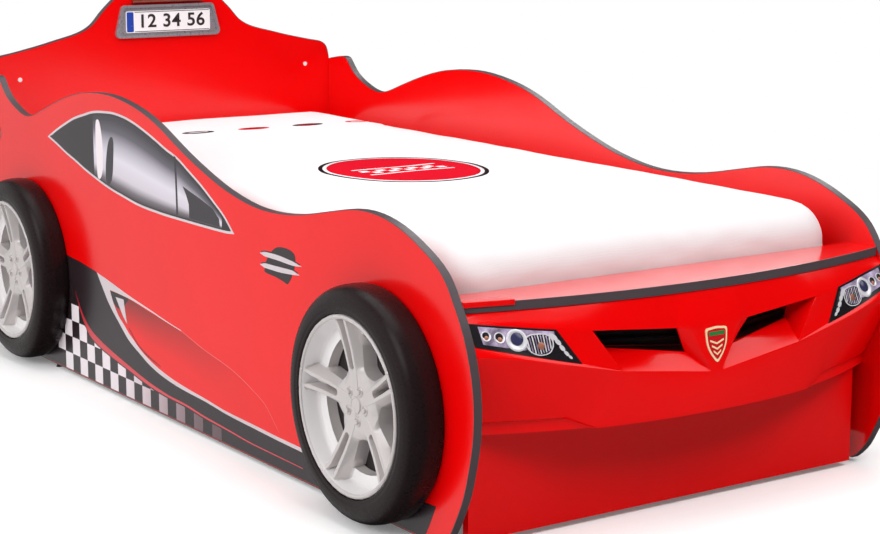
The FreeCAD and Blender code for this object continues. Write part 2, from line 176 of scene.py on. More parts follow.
def ramp_print(name, stops, axis="Y", lo=0.0, hi=1.0, rough=0.2, uv=None):
    """Gloss print whose colour follows a ramp along an object axis, in mm of the working frame, or along the UV map."""
    m = material(name, (0.5, 0.5, 0.5), rough=rough, rough_var=0.03, bump=0.02, bump_scale=260.0)
    nt = m.node_tree
    b = nt.nodes["Principled BSDF"]
    sp = node(nt, "ShaderNodeSeparateXYZ")
    if uv:
        um = node(nt, "ShaderNodeUVMap")
        nt.links.new(um.outputs[0], sp.inputs[0])
        src = sp.outputs[axis]
        f = maprange(nt, src, lo, hi, 0, 1)
    else:
        tc = node(nt, "ShaderNodeTexCoord")
        nt.links.new(tc.outputs["Object"], sp.inputs[0])
        o = YM if axis == "Y" else 0
        f = maprange(nt, sp.outputs[axis], (lo - o) / 1000, (hi - o) / 1000, 0, 1)
    r = ramp(nt, stops)
    nt.links.new(f, r.inputs["Fac"])
    nt.links.new(r.outputs["Color"], b.inputs["Base Color"])
    return m


def wood():
    m = material("plain_wood", (0.62, 0.42, 0.24), rough=0.55, rough_var=0.08, bump=0.15, bump_scale=300.0)
    nt = m.node_tree
    b = nt.nodes["Principled BSDF"]
    tc = node(nt, "ShaderNodeTexCoord")
    mp = node(nt, "ShaderNodeMapping")
    mp.inputs["Scale"].default_value = (14.0, 1.6, 30.0)
    wv = node(nt, "ShaderNodeTexNoise")
    wv.inputs["Scale"].default_value = 3.0
    wv.inputs["Detail"].default_value = 6.0
    wv.inputs["Distortion"].default_value = 0.6
    nt.links.new(tc.outputs["Object"], mp.inputs["Vector"])
    nt.links.new(mp.outputs[0], wv.inputs["Vector"])
    r = ramp(nt, [(0.3, (0.40, 0.25, 0.13)), (0.5, (0.60, 0.42, 0.24)), (0.72, (0.72, 0.54, 0.33))])
    nt.links.new(wv.outputs["Fac"], r.inputs["Fac"])
    nt.links.new(r.outputs["Color"], b.inputs["Base Color"])
    return m


def fabric(name, col, scale=900.0, sheen=0.2, spec=0.2):
    m = material(name, col, rough=0.85, rough_var=0.06, var=0.02, bump=0.25, bump_scale=scale, bump_dist=0.0006, sheen=sheen,
                 spec=spec, grain=60.0)
    nt = m.node_tree
    b = nt.nodes["Principled BSDF"]
    tc = node(nt, "ShaderNodeTexCoord")
    w1 = node(nt, "ShaderNodeTexWave", wave_type="BANDS", bands_direction="X")
    w2 = node(nt, "ShaderNodeTexWave", wave_type="BANDS", bands_direction="Y")
    mx = node(nt, "ShaderNodeMath", operation="MULTIPLY")
    for w in (w1, w2):
        w.inputs["Scale"].default_value = 160.0
        w.inputs["Distortion"].default_value = 0.6
        nt.links.new(tc.outputs["Object"], w.inputs["Vector"])
    nt.links.new(w1.outputs["Fac"], mx.inputs[0])
    nt.links.new(w2.outputs["Fac"], mx.inputs[1])
    b1 = node(nt, "ShaderNodeBump")
    b1.inputs["Strength"].default_value = 0.25
    b1.inputs["Distance"].default_value = 0.0004
    nt.links.new(mx.outputs[0], b1.inputs["Height"])
    old = b.inputs["Normal"].links[0].from_node
    nt.links.new(old.outputs["Normal"], b1.inputs["Normal"])
    nt.links.new(b1.outputs["Normal"], b.inputs["Normal"])
    return m


M = {
    "red": material("red_board", RED, rough=0.17, rough_var=0.03, var=0.02, bump=0.02, bump_scale=260.0, spec=0.5),
    "red_side": red_side(),
    "red_dull": material("red_trundle", (0.72, 0.0006, 0.0010), rough=0.22, rough_var=0.03, var=0.02, bump=0.02, bump_scale=260.0, spec=0.4),
    "abs": material("red_abs", (0.80, 0.0006, 0.0010), rough=0.16, rough_var=0.03, var=0.015, bump=0.03, bump_scale=90.0, bump_dist=0.0006,
                    coat=0.3, coat_rough=0.06),
    "band": material("edge_band", srgb(76, 67, 71), rough=0.38, rough_var=0.06, var=0.05, bump=0.08, bump_scale=700.0),
    "black": material("black_plastic", (0.010, 0.009, 0.010), rough=0.5, rough_var=0.08, var=0.2, bump=0.08, bump_scale=500.0),
    "gloss_black": material("gloss_black", (0.012, 0.010, 0.012), rough=0.16, rough_var=0.03, var=0.1, bump=0.02, coat=0.6),
    "tyre": material("tyre_plastic", srgb(30, 21, 22), rough=0.30, rough_var=0.06, var=0.08, bump=0.12, bump_scale=600.0, bump_dist=0.0003,
                     spec=0.2),
    "rim": material("rim_plastic", (0.64, 0.60, 0.595), rough=0.36, rough_var=0.05, var=0.03, metallic=0.35, coat=0.4, coat_rough=0.15,
                    bump=0.05, bump_scale=600.0),
    # lighter, non-metal copy of the rim plastic for the barrel seen through the spoke windows: a painted highlight that
    # stands in for the white reflection there
    "rim_barrel_painted_highlight": material("rim_barrel_painted_highlight", (0.80, 0.78, 0.78), rough=0.4, rough_var=0.04, var=0.02, metallic=0.0, coat=0.3, coat_rough=0.2,
                           bump=0.02, bump_scale=90.0),
    "red_shelf": material("red_shelf", RED, rough=0.16, rough_var=0.03, var=0.02, bump=0.03, bump_scale=160.0, bump_dist=0.0006, spec=0.8,
                          coat=1.0, coat_rough=0.12),
    "rim_dark": material("rim_shadow", (0.035, 0.029, 0.029), rough=0.6, spec=0.2, rough_var=0.06, var=0.1, bump=0.05),
    "chrome": material("chrome", (0.86, 0.84, 0.88), rough=0.2, rough_var=0.05, var=0.05, metallic=0.35, bump=0.02),
    "lavender": material("lamp_silver", (0.34, 0.27, 0.40), rough=0.3, rough_var=0.08, var=0.8, metallic=0.15, bump=0.2, bump_scale=160.0,
                         grain=900.0),
    "copper": material("copper", (0.62, 0.26, 0.17), rough=0.3, rough_var=0.05, var=0.2, metallic=0.6, bump=0.05),
    "lens_blue": material("lens_blue", (0.035, 0.035, 0.09), rough=0.08, rough_var=0.02, var=0.2, coat=1.0, coat_rough=0.03, bump=0.01),
    "plate_grey": material("plate_grey", srgb(150, 152, 158), rough=0.3, rough_var=0.05, var=0.1, metallic=0.4, coat=0.3, bump=0.03),
    "plate_white": material("plate_white", srgb(240, 240, 242), rough=0.25, rough_var=0.04, var=0.02, coat=0.3, bump=0.03),
    "plate_blue": material("plate_blue", srgb(38, 70, 165), rough=0.25, rough_var=0.04, var=0.06, coat=0.3, bump=0.03),
    "digits": material("digits", srgb(45, 42, 44), rough=0.3, rough_var=0.05, var=0.1, bump=0.03),
    "lamp_amber": material("lamp_amber", srgb(120, 50, 30), rough=0.25, rough_var=0.05, var=0.25, coat=0.5, bump=0.1, bump_scale=120.0,
                           grain=900.0),
    "white": material("white_plastic", srgb(232, 226, 226), rough=0.4, rough_var=0.05, var=0.03, bump=0.05),
    "steel": material("steel", (0.56, 0.56, 0.58), rough=0.32, rough_var=0.08, var=0.06, metallic=1.0, bump=0.06, bump_scale=700.0),
    "wood": wood(),
    "fabric": fabric("mattress_fabric", (0.76, 0.742, 0.752), sheen=0.08),
    "fabric2": fabric("mattress_fabric_lower", (0.66, 0.65, 0.655), sheen=0.08),
    "piping": fabric("piping_fabric", (0.84, 0.83, 0.84), 1400.0),
    "print_red": fabric("print_red", srgb(200, 10, 34), sheen=0.0, spec=0.05),
    "print_black": fabric("print_black", srgb(30, 22, 26), sheen=0.0, spec=0.05),
    "print_white": fabric("print_white", srgb(236, 228, 232)),
    "castor": material("castor", (0.02, 0.02, 0.022), rough=0.45, rough_var=0.06, var=0.1, bump=0.08),
    "sill": material("print_sill", srgb(42, 32, 35), rough=0.24, rough_var=0.03, var=0.1, bump=0.02, bump_scale=260.0),
    "silver": material("print_silver", srgb(206, 196, 200), rough=0.24, rough_var=0.03, var=0.05, bump=0.02, bump_scale=260.0),
    "pwhite": material("print_pale", srgb(236, 226, 230), rough=0.22, rough_var=0.03, var=0.03, bump=0.02, bump_scale=260.0),
    "slate": material("print_slate", srgb(48, 43, 49), rough=0.24, rough_var=0.03, var=0.1, bump=0.02, bump_scale=260.0),
    "glass_dark": material("print_glass_dark", srgb(34, 29, 33), rough=0.2, rough_var=0.03, var=0.2, bump=0.02, bump_scale=260.0),
    "pink": material("print_line", srgb(232, 92, 92), rough=0.22, rough_var=0.03, var=0.05, bump=0.02, bump_scale=260.0),
    "cream": material("badge_cream", srgb(236, 214, 170), rough=0.2, rough_var=0.04, var=0.04, coat=0.6, bump=0.03),
    "enamel": material("badge_red", srgb(196, 20, 28), rough=0.15, rough_var=0.03, var=0.06, coat=0.8, bump=0.03),
    "green": material("badge_green", srgb(46, 122, 62), rough=0.2, rough_var=0.04, var=0.06, coat=0.6, bump=0.03),
}


# ------------------------------------------------------------------ mesh helpers
def pchip(xs, ys, xq):
    """Monotone cubic through the points; xs may run either way."""
    xs, ys, xq = np.array(xs, float), np.array(ys, float), np.array(xq, float)
    if xs[0] > xs[-1]:
        xs, ys = xs[::-1], ys[::-1]
    h = np.diff(xs)
    d = np.diff(ys) / h
    m = np.zeros(len(xs))
    for i in range(1, len(xs) - 1):
        if d[i - 1] * d[i] > 0:
            w1, w2 = 2 * h[i] + h[i - 1], h[i] + 2 * h[i - 1]
            m[i] = (w1 + w2) / (w1 / d[i - 1] + w2 / d[i])
    m[0], m[-1] = d[0], d[-1]
    k = np.clip(np.searchsorted(xs, xq) - 1, 0, len(h) - 1)
    t = (xq - xs[k]) / h[k]
    t = np.clip(t, 0, 1)
    return ((1 + 2 * t) * (1 - t) ** 2 * ys[k] + t * (1 - t) ** 2 * h[k] * m[k] + t * t * (3 - 2 * t) * ys[k + 1]
            + t * t * (t - 1) * h[k] * m[k + 1])


def add(name, verts, faces, mats, body="bed_frame", slot=None, idx=None, sharp=32.0, weld=0.0, mirror=False, uvs=None, bevel=None,
        soft=False):
    """A closed mesh piece from points in the working frame."""
    if mirror:
        verts = [(-v[0], v[1], v[2]) for v in verts]
    me = bpy.data.meshes.new(name)
    me.from_pydata([W(v) for v in verts], [], [tuple(f) for f in faces])
    if not isinstance(mats, (list, tuple)):
        mats = [mats]
    for m in mats:
        me.materials.append(M[m])
    if idx is not None:
        me.polygons.foreach_set("material_index", list(idx))
    if uvs is not None:
        ul = me.uv_layers.new(name="UVMap")
        vi = np.zeros(len(me.loops), int)
        me.loops.foreach_get("vertex_index", vi)
        ul.data.foreach_set("uv", np.array(uvs, float)[vi].ravel())
    bm = bmesh.new()
    bm.from_mesh(me)
    if weld:
        bmesh.ops.remove_doubles(bm, verts=bm.verts, dist=weld / 1000.0)
    bmesh.ops.recalc_face_normals(bm, faces=bm.faces)
    bm.to_mesh(me)
    bm.free()
    o = bpy.data.objects.new(name, me)
    bpy.context.scene.collection.objects.link(o)
    me.shade_smooth()
    me.set_sharp_from_angle(angle=math.radians(sharp))
    if bevel:
        b = o.modifiers.new("Bevel", "BEVEL")
        b.width = bevel / 1000.0
        b.segments = 3
        b.limit_method = "ANGLE"
        b.angle_limit = math.radians(24)
        b.harden_normals = False
    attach(o, body)
    return o


def grid_faces(n, m, base=0, flip=False):
    """Faces of a grid of (n+1) x (m+1) points, index i*(m+1)+j."""
    f = []
    for i in range(n):
        for j in range(m):
            a = base + i * (m + 1) + j
            q = (a, a + 1, a + m + 2, a + m + 1)
            f.append(q[::-1] if flip else q)
    return f


def border(n, m):
    p = [i * (m + 1) for i in range(n + 1)] + [n * (m + 1) + j for j in range(1, m + 1)]
    p += [i * (m + 1) + m for i in range(n - 1, -1, -1)] + [j for j in range(m - 1, 0, -1)]
    return p


def slab(front, back, n, m):
    """Closed solid between two grids of the same layout."""
    k = len(front)
    verts = list(front) + list(back)
    faces = grid_faces(n, m) + grid_faces(n, m, k, True)
    p = border(n, m)
    for a, b in zip(p, p[1:] + p[:1]):
        faces.append((a, b, b + k, a + k))
    return verts, faces


class Solid:
    """Several closed solids that make one piece."""

    def __init__(self):
        self.v, self.f, self.i, self.uv = [], [], [], []

    def put(self, verts, faces, mat=0, uv=None):
        k = len(self.v)
        self.v += [tuple(p) for p in verts]
        self.f += [tuple(a + k for a in f) for f in faces]
        self.i += [mat] * len(faces)
        self.uv += list(uv) if uv is not None else [(0, 0)] * len(verts)


LAYER = 0.12


def strip(S, side, A, B, n, m, layer, mat=0, th=0.22):
    """Thin print between curve A and curve B, both lists of (y, z) of equal length, on a side panel."""
    t = np.linspace(0, 1, n + 1)
    k = np.linspace(0, 1, len(A))
    A, B = np.array(A, float), np.array(B, float)
    a = np.stack([np.interp(t, k, A[:, 0]), np.interp(t, k, A[:, 1])], 1)
    b = np.stack([np.interp(t, k, B[:, 0]), np.interp(t, k, B[:, 1])], 1)
    fr, bk, uv = [], [], []
    x0 = HALF + 0.02
    x1 = HALF + th + LAYER * layer
    for i in range(n + 1):
        for j in range(m + 1):
            s = j / m
            p = b[i] * (1 - s) + a[i] * s
            fr.append((side * x1, p[0], p[1]))
            bk.append((side * x0, p[0], p[1]))
            uv.append((t[i], s))
    v, f = slab(fr, bk, n, m)
    S.put(v, f, mat, uv + uv)


def curve_strip(S, side, ys, top, bot, n, m, layer, mat=0, minh=0.3):
    """Print between two heights given over y."""
    yq = np.linspace(ys[0], ys[1], n + 1)
    zt = pchip([p[0] for p in top], [p[1] for p in top], yq)
    zb = pchip([p[0] for p in bot], [p[1] for p in bot], yq)
    zt = np.maximum(zt, zb + minh)
    strip(S, side, list(zip(yq, zt)), list(zip(yq, zb)), n, m, layer, mat)


def smooth_loop(pts, per=6):
    """Closed Catmull-Rom through the points."""
    p = np.array(pts, float)
    n = len(p)
    out = []
    for i in range(n):
        p0, p1, p2, p3 = p[(i - 1) % n], p[i], p[(i + 1) % n], p[(i + 2) % n]
        for s in range(per):
            t = s / per
            out.append(tuple(0.5 * ((2 * p1) + (p2 - p0) * t + (2 * p0 - 5 * p1 + 4 * p2 - p3) * t * t
                                    + (3 * p1 - p0 - 3 * p2 + p3) * t ** 3)))
    return out


def poly(S, pts2, place, lo, hi, mat=0):
    """Closed solid over a polygon; place(a, b, h) gives the point at height h."""
    tri = tessellate_polygon([[Vector((a, b, 0)) for a, b in pts2]])
    k = len(pts2)
    v = [place(a, b, hi) for a, b in pts2] + [place(a, b, lo) for a, b in pts2]
    f = [tuple(t) for t in tri] + [tuple(i + k for i in reversed(t)) for t in tri]
    for i in range(k):
        j = (i + 1) % k
        f.append((i, j, j + k, i + k))
    S.put(v, f, mat)


def side_place(side):
    return lambda y, z, h: (side * (HALF + h), y, z)


def lathe(S, prof, centre, axis, up, seg, mat=0, closed=True):
    """Profile (h, r) turned about axis through centre. A closed ring of points, or ends on the axis where r = 0."""
    ax, up = Vector(axis).normalized(), Vector(up).normalized()
    sd = ax.cross(up)
    c = Vector(centre)
    n = len(prof)
    v, f = [], []
    first = []
    for h, r in prof:
        first.append(len(v))
        if r < 1e-6:
            v.append(tuple(c + ax * h))
        else:
            for k in range(seg):
                a = 2 * math.pi * k / seg
                v.append(tuple(c + ax * h + up * (r * math.cos(a)) + sd * (r * math.sin(a))))
    rng = range(n) if closed else range(n - 1)
    for i in rng:
        j = (i + 1) % n
        ri, rj = prof[i][1] < 1e-6, prof[j][1] < 1e-6
        if ri and rj:
            continue
        for k in range(seg):
            k2 = (k + 1) % seg
            if ri:
                f.append((first[i], first[j] + k2, first[j] + k))
            elif rj:
                f.append((first[i] + k, first[i] + k2, first[j]))
            else:
                f.append((first[i] + k, first[i] + k2, first[j] + k2, first[j] + k))
    S.put(v, f, mat)


def from_solid(name, S, mats, **kw):
    return add(name, S.v, S.f, mats, idx=S.i, uvs=S.uv, **kw)


def finish_cad(name, mat, width=0.6, weld=True):
    """Procedural finish and slightly broken edges on a board of the frame."""
    o = N[name]
    o.data.materials.clear()
    o.data.materials.append(M[mat])
    o.data.polygons.foreach_set("material_index", [0] * len(o.data.polygons))
    if width:
        w = o.modifiers.new("Weld", "WELD")
        w.merge_threshold = 0.00002
        b = o.modifiers.new("Bevel", "BEVEL")
        b.width = width / 1000.0
        b.segments = 2
        b.limit_method = "ANGLE"
        b.angle_limit = math.radians(40)
        b.use_clamp_overlap = True
    return o


# ------------------------------------------------------------------ boards and hardware of the frame
CAD = {
    "side_panel_left": ("red_side", 0.5), "side_panel_right": ("red_side", 0.5), "edge_band_left": ("band", 0), "edge_band_right": ("band", 0),
    "foot_glides": ("black", 0.5), "headboard": ("red", 0.5), "headboard_edge_band": ("band", 0), "plate_frame": ("plate_grey", 0.8),
    "headboard_lamp_bar": ("lamp_amber", 0), "headboard_screw_caps": ("white", 0.5), "front_shelf": ("red_shelf", 0.5),
    "shelf_edge_strip": ("band", 0), "corner_cap": ("abs", 1.0), "foot_panel": ("red", 0.5), "nose_brackets": ("steel", 0.4),
    "nose_screws": ("steel", 0.4), "wheel_screws": ("steel", 0.4), "side_rail_left": ("wood", 1.0), "side_rail_right": ("wood", 1.0),
    "cross_beams": ("wood", 1.0), "bed_slats": ("wood", 1.0), "corner_brackets": ("steel", 0.4), "bracket_screws": ("steel", 0.4),
    "trundle_front": ("red_dull", 0.5), "trundle_front_band": ("band", 0), "trundle_side_left": ("wood", 0.8),
    "trundle_side_right": ("wood", 0.8), "trundle_back": ("wood", 0.8), "trundle_base": ("wood", 0.8), "castor_brackets": ("steel", 0.4),
    "castor_pins": ("steel", 0.3), "trundle_screws": ("steel", 0.4), "castor_wheels_front": ("castor", 0), "castor_wheels_rear": ("castor", 0),
}
for k, (mt, wd) in CAD.items():
    finish_cad(k, mt, wd)

# ------------------------------------------------------------------ prints on the outer faces of the side panels
WIN_T = [(1702, 540), (1650, 563), (1600, 582), (1550, 599), (1500, 611), (1450, 621.7), (1400, 626.5), (1350, 628.5), (1300, 625.5),
         (1250, 618), (1200, 606.5), (1150, 593), (1100, 578), (1050, 565.5), (1000, 545), (950, 524), (900, 499), (850, 472), (812, 441.5)]
WIN_B = [(1702, 540), (1650, 526), (1600, 511), (1550, 498.7), (1500, 485), (1450, 473.7), (1400, 463.3), (1350, 455), (1300, 448.8),
         (1250, 442.5), (1200, 439), (1150, 437.5), (1100, 436.5), (1050, 436.5), (950, 437), (850, 438.3), (812, 441.5)]
SILL_T = [(2130, 96), (2080, 150), (2000, 215), (1900, 262), (1800, 282), (1700, 284), (1600, 276.7), (1550, 273.8), (1500, 268.5),
          (1456, 263), (1425, 230), (1400, 205), (1375, 186), (1350, 169.6), (1300, 138), (1250, 119.6), (1200, 103), (1150, 92.5),
          (1100, 86), (1050, 82), (950, 78), (850, 71), (750, 68), (650, 65.4), (554, 64), (400, 66), (250, 70), (112, 76)]
SILL_B = [(2130, 80), (2112, 30), (2100, 10.6), (1500, 10.6), (700, 10.6), (150, 10.6), (142, 20), (112, 74)]
CRES_O = SILL_T[9:25]
CRES_I = [(1390, 232), (1375, 209), (1350, 184), (1325, 169.6), (1300, 154), (1275, 142.5), (1250, 130.8), (1200, 114), (1150, 103),
          (1100, 95.4), (1050, 90.4), (950, 84), (850, 77), (750, 75), (650, 72.5), (554, 71.7)]
BAND_U = [(1456, 263), (1400, 255), (1300, 239), (1200, 226), (1100, 212.5), (1050, 207)]
BAND_L = [(1390, 235), (1300, 232), (1200, 222.5), (1100, 210.5), (1050, 205.5)]
LINE = [(1050, 206.2), (950, 186), (850, 171), (800, 160), (750, 144.6), (700, 125.8), (675, 107), (648, 82)]
RS = [(1577, 201), (1558, 171.7), (1541.7, 150.8), (1500, 118.5), (1450, 103), (1400, 92.5), (1350, 84), (1300, 75.8), (1250, 67.5),
      (1200, 60.4), (1150, 56), (1100, 53), (1050, 52), (950, 44.6), (850, 40), (750, 35), (650, 34), (558, 33)]
RS_T = [(1577, 3), (1558, 9), (1541, 13), (1500, 18), (1400, 14), (1300, 10), (1200, 8), (1100, 5), (950, 4), (750, 2.5), (558, 1.5)]
M["checker"] = ramp_print("print_checker", [(0.0, srgb(88, 70, 74)), (0.18, srgb(112, 92, 98)), (0.32, srgb(158, 138, 144)),
                                            (0.45, srgb(200, 182, 188)), (0.62, srgb(232, 222, 228)), (1.0, srgb(240, 232, 236))],
                          "Y", 842, 1641)
M["stripe"] = ramp_print("print_stripe", [(0.0, srgb(212, 70, 80)), (0.35, srgb(206, 62, 70)), (0.75, srgb(186, 46, 56)), (1.0, srgb(146, 20, 30))],
                         "Z", 30, 200)
M["glass"] = ramp_print("print_glass", [(0.0, srgb(60, 52, 58)), (0.08, srgb(110, 104, 110)), (0.2, srgb(205, 198, 208)), (0.42, srgb(216, 212, 222)),
                                        (0.6, srgb(176, 172, 184)), (0.78, srgb(92, 88, 98)), (0.93, srgb(58, 54, 62)), (1.0, srgb(48, 44, 50))],
                       "Y", 0, 1, uv=True)


def inset(top, bot, ys, d):
    """Top and bottom curves moved inwards by d."""
    yq = np.linspace(ys[0], ys[1], 61)
    t, b = pchip(*zip(*top), yq), pchip(*zip(*bot), yq)
    gt, gb = np.gradient(t, yq), np.gradient(b, yq)
    t2, b2 = t - d * np.sqrt(1 + gt ** 2), b + d * np.sqrt(1 + gb ** 2)
    return [(y, max(p, q + 0.2)) for y, p, q in zip(yq, t2, b2)], [(y, q) for y, q in zip(yq, b2)]


for side, tag in ((-1, "left"), (1, "right")):
    P = side_place(side)
    # window
    S = Solid()
    curve_strip(S, side, (1702, 812), WIN_T, WIN_B, 110, 4, 0, 0)
    from_solid("window_border_" + tag, S, ["silver"], slot="red_board")
    t, b = inset(WIN_T, WIN_B, (1690, 826), 5.0)
    S = Solid()
    curve_strip(S, side, (1690, 826), t, b, 110, 6, 1, 0)
    from_solid("window_base_" + tag, S, ["glass_dark"], slot="red_board")
    t, b = inset(WIN_T, WIN_B, (1690, 826), 8.0)
    S = Solid()
    curve_strip(S, side, (1452, 862), t, b, 90, 10, 2, 0)
    from_solid("window_glass_" + tag, S, ["glass"], slot="red_board")
    S = Solid()
    poly(S, smooth_loop([(1436, 600), (1422, 604), (1412, 585), (1405, 545), (1408, 500), (1420, 478), (1434, 480), (1438, 520), (1440, 565)]),
         P, 0.02, 0.62, 0)
    poly(S, smooth_loop([(1392, 478), (1376, 470), (1360, 488), (1352, 530), (1350, 566), (1362, 574), (1378, 556), (1390, 516)]), P, 0.02, 0.62, 1)
    poly(S, [(1064, 575 - 8), (1056, 564), (1052, 520), (1050, 446), (1058, 446), (1060, 520)], P, 0.02, 0.6, 1)
    poly(S, [(1027, 509), (1000, 503), (950, 492.5), (900, 480), (873, 463), (870, 447), (1001, 447), (1001, 459), (1002, 476), (1012, 492)],
         P, 0.02, 0.62, 1)
    from_solid("window_inside_" + tag, S, ["pwhite", "slate"], slot="red_board")
    # vent
    S = Solid()
    poly(S, smooth_loop([(691.7, 396.7), (683, 413.3), (662.5, 432), (637.5, 442.5), (600, 443.3), (579, 436.3), (577, 421.7), (585.4, 400.8),
                         (604, 378), (620.8, 379.2), (650, 383.3), (690.8, 386.3)], 4), P, 0.02, 0.3, 0)
    for za, zb, y1 in ((421, 418.5, 554), (399, 401, 562)):
        top = [(710, za), (690, za + 4.5), (650, za + 5.5), (590, zb + 5), (y1, zb)]
        bot = [(710, za - 0.5), (690, za - 4.5), (650, za - 4.5), (590, zb - 3.5), (y1, zb - 0.6)]
        curve_strip(S, side, (710, y1), top, bot, 24, 2, 1, 1)
        t2 = [(p[0], p[1] + 2.2) for p in top]
        curve_strip(S, side, (706, y1 + 6), t2, top, 24, 1, 2, 2)
    from_solid("vent_print_" + tag, S, ["sill", "silver", "glass_dark"], slot="red_board")
    # sill
    S = Solid()
    curve_strip(S, side, (2130, 112), SILL_T, SILL_B, 220, 4, 0, 0)
    from_solid("sill_print_" + tag, S, ["sill"], slot="red_board")
    S = Solid()
    curve_strip(S, side, (1456, 1390), BAND_U, CRES_O, 14, 3, 1, 0)
    curve_strip(S, side, (1390, 554), CRES_I, CRES_O, 120, 1, 1, 0)
    curve_strip(S, side, (1390, 1050), BAND_U, BAND_L, 40, 1, 1, 0)
    from_solid("door_crease_" + tag, S, ["silver"], slot="red_board", weld=0.01)
    S = Solid()
    curve_strip(S, side, (1050, 648), [(y, z + 0.9) for y, z in LINE], [(y, z - 0.9) for y, z in LINE], 60, 1, 1, 0)
    from_solid("crease_line_" + tag, S, ["pink"], slot="red_board")
    S = Solid()
    curve_strip(S, side, (1388, 1300), [(1388, 233.5), (1350, 233), (1300, 231)], [(1388, 230), (1375, 211), (1350, 200), (1330, 206), (1300, 228)],
                16, 2, 1, 0)
    poly(S, [(1362, 224), (1322, 225), (1316, 200), (1308, 174), (1325, 186), (1345, 206)], P, 0.02, 0.5, 1)
    curve_strip(S, side, (1300, 1150), [(1300, 167), (1250, 136), (1200, 121), (1150, 111)], [(1300, 164), (1250, 133.5), (1200, 118.5), (1150, 110)],
                16, 1, 1, 0)
    from_solid("intake_print_" + tag, S, ["sill", "silver"], slot="red_board")
    S = Solid()
    yq = np.linspace(1577, 558, 90)
    c, th = pchip(*zip(*RS), yq), pchip(*zip(*RS_T), yq)
    curve_strip(S, side, (1577, 558), list(zip(yq, c + th / 2)), list(zip(yq, c - th / 2)), 110, 1, 1, 0)
    from_solid("sill_stripe_" + tag, S, ["stripe"], slot="red_board")
    # checks, cut off by the stripe
    S = Solid()
    rows = [(11.5, 50.8), (50.8, 90.4), (90.4, 129.0), (129.0, 168.0)]
    for r, (z0, z1) in enumerate(rows):
        for k in range(-1, 22):
            y1 = 1641.0 - 80.0 * k - (0 if r % 2 == 0 else 40.0)
            y0 = y1 - 40.0
            if y1 > 1720 or y0 < 830:
                continue
            yy = np.linspace(y1 - 0.06, y0 + 0.06, 9)
            lim = np.where(yy > 1577, 400.0, pchip(*zip(*RS), np.minimum(yy, 1577)) - pchip(*zip(*RS_T), np.minimum(yy, 1577)) / 2 - 3.0)
            zt = np.minimum(z1, lim)
            ok = zt > z0 + 1.0
            if not ok.any():
                continue
            yk = yy[ok]
            if len(yk) < 2:
                continue
            strip(S, side, list(zip(yk, zt[ok])), [(y, z0 + 0.12) for y in yk], 6, 1, 1, 0)
    from_solid("checks_" + tag, S, ["checker"], slot="red_board")
    # round print over the rear wheel
    S = Solid()
    for r, h, mt in ((27, 0.3, 1), (23, 0.42, 0), (8, 0.54, 1)):
        poly(S, [(2012 + r * math.cos(a), 520 + r * math.sin(a)) for a in np.linspace(0, 2 * math.pi, 48, endpoint=False)], P, 0.02, h, mt)
    from_solid("cap_print_" + tag, S, ["silver", "sill"], slot="red_board")

# ------------------------------------------------------------------ wheels
TYRE = [(0.3, 206), (6, 209.5), (18, 211.3), (32, 211.4), (45, 210.0), (55, 206.2), (62, 200.2), (66.4, 192.5), (68.8, 184), (69.5, 174),
        (68.6, 165.5)]


def tyre_profile():
    t = np.array(TYRE, float)
    s = np.concatenate([[0], np.cumsum(np.hypot(*np.diff(t, axis=0).T))])
    q = np.linspace(0, s[-1], 46)
    h, r = pchip(s, t[:, 0], q), pchip(s, t[:, 1], q)
    prof = [(0.3, 163.2)] + list(zip(h, r)) + [(67.6, 163.4), (64, 162.8), (30, 162.8)]
    # a shallow moulded groove by the bead
    out = []
    for a, b in prof:
        if 168.5 < b < 173 and a > 60:
            a -= 0.9 * math.cos((b - 170.7) / 2.3 * math.pi / 2) ** 2
        out.append((a, b))
    return out


RROWS = [0.0, 6, 12, 18, 24, 30, 36, 42, 46, 50, 54, 58, 61, 62.5, 63.2, 64, 65, 66, 67, 68.5, 70, 74, 80, 88, 96, 104, 112, 118, 122, 124,
         126, 130, 136, 142, 146, 148, 148.8, 149.4, 150, 150.6, 151.2, 151.8, 152.4, 153, 153.8, 155, 157, 159, 161, 162]


def barrel(r):
    return float(np.interp(r, [0, 122, 124, 126, 147, 149.5, 153, 154, 157, 160.5, 162], [9, 9, 12, 31, 33, 37, 65.5, 67.8, 69.2, 68.2, 65]))


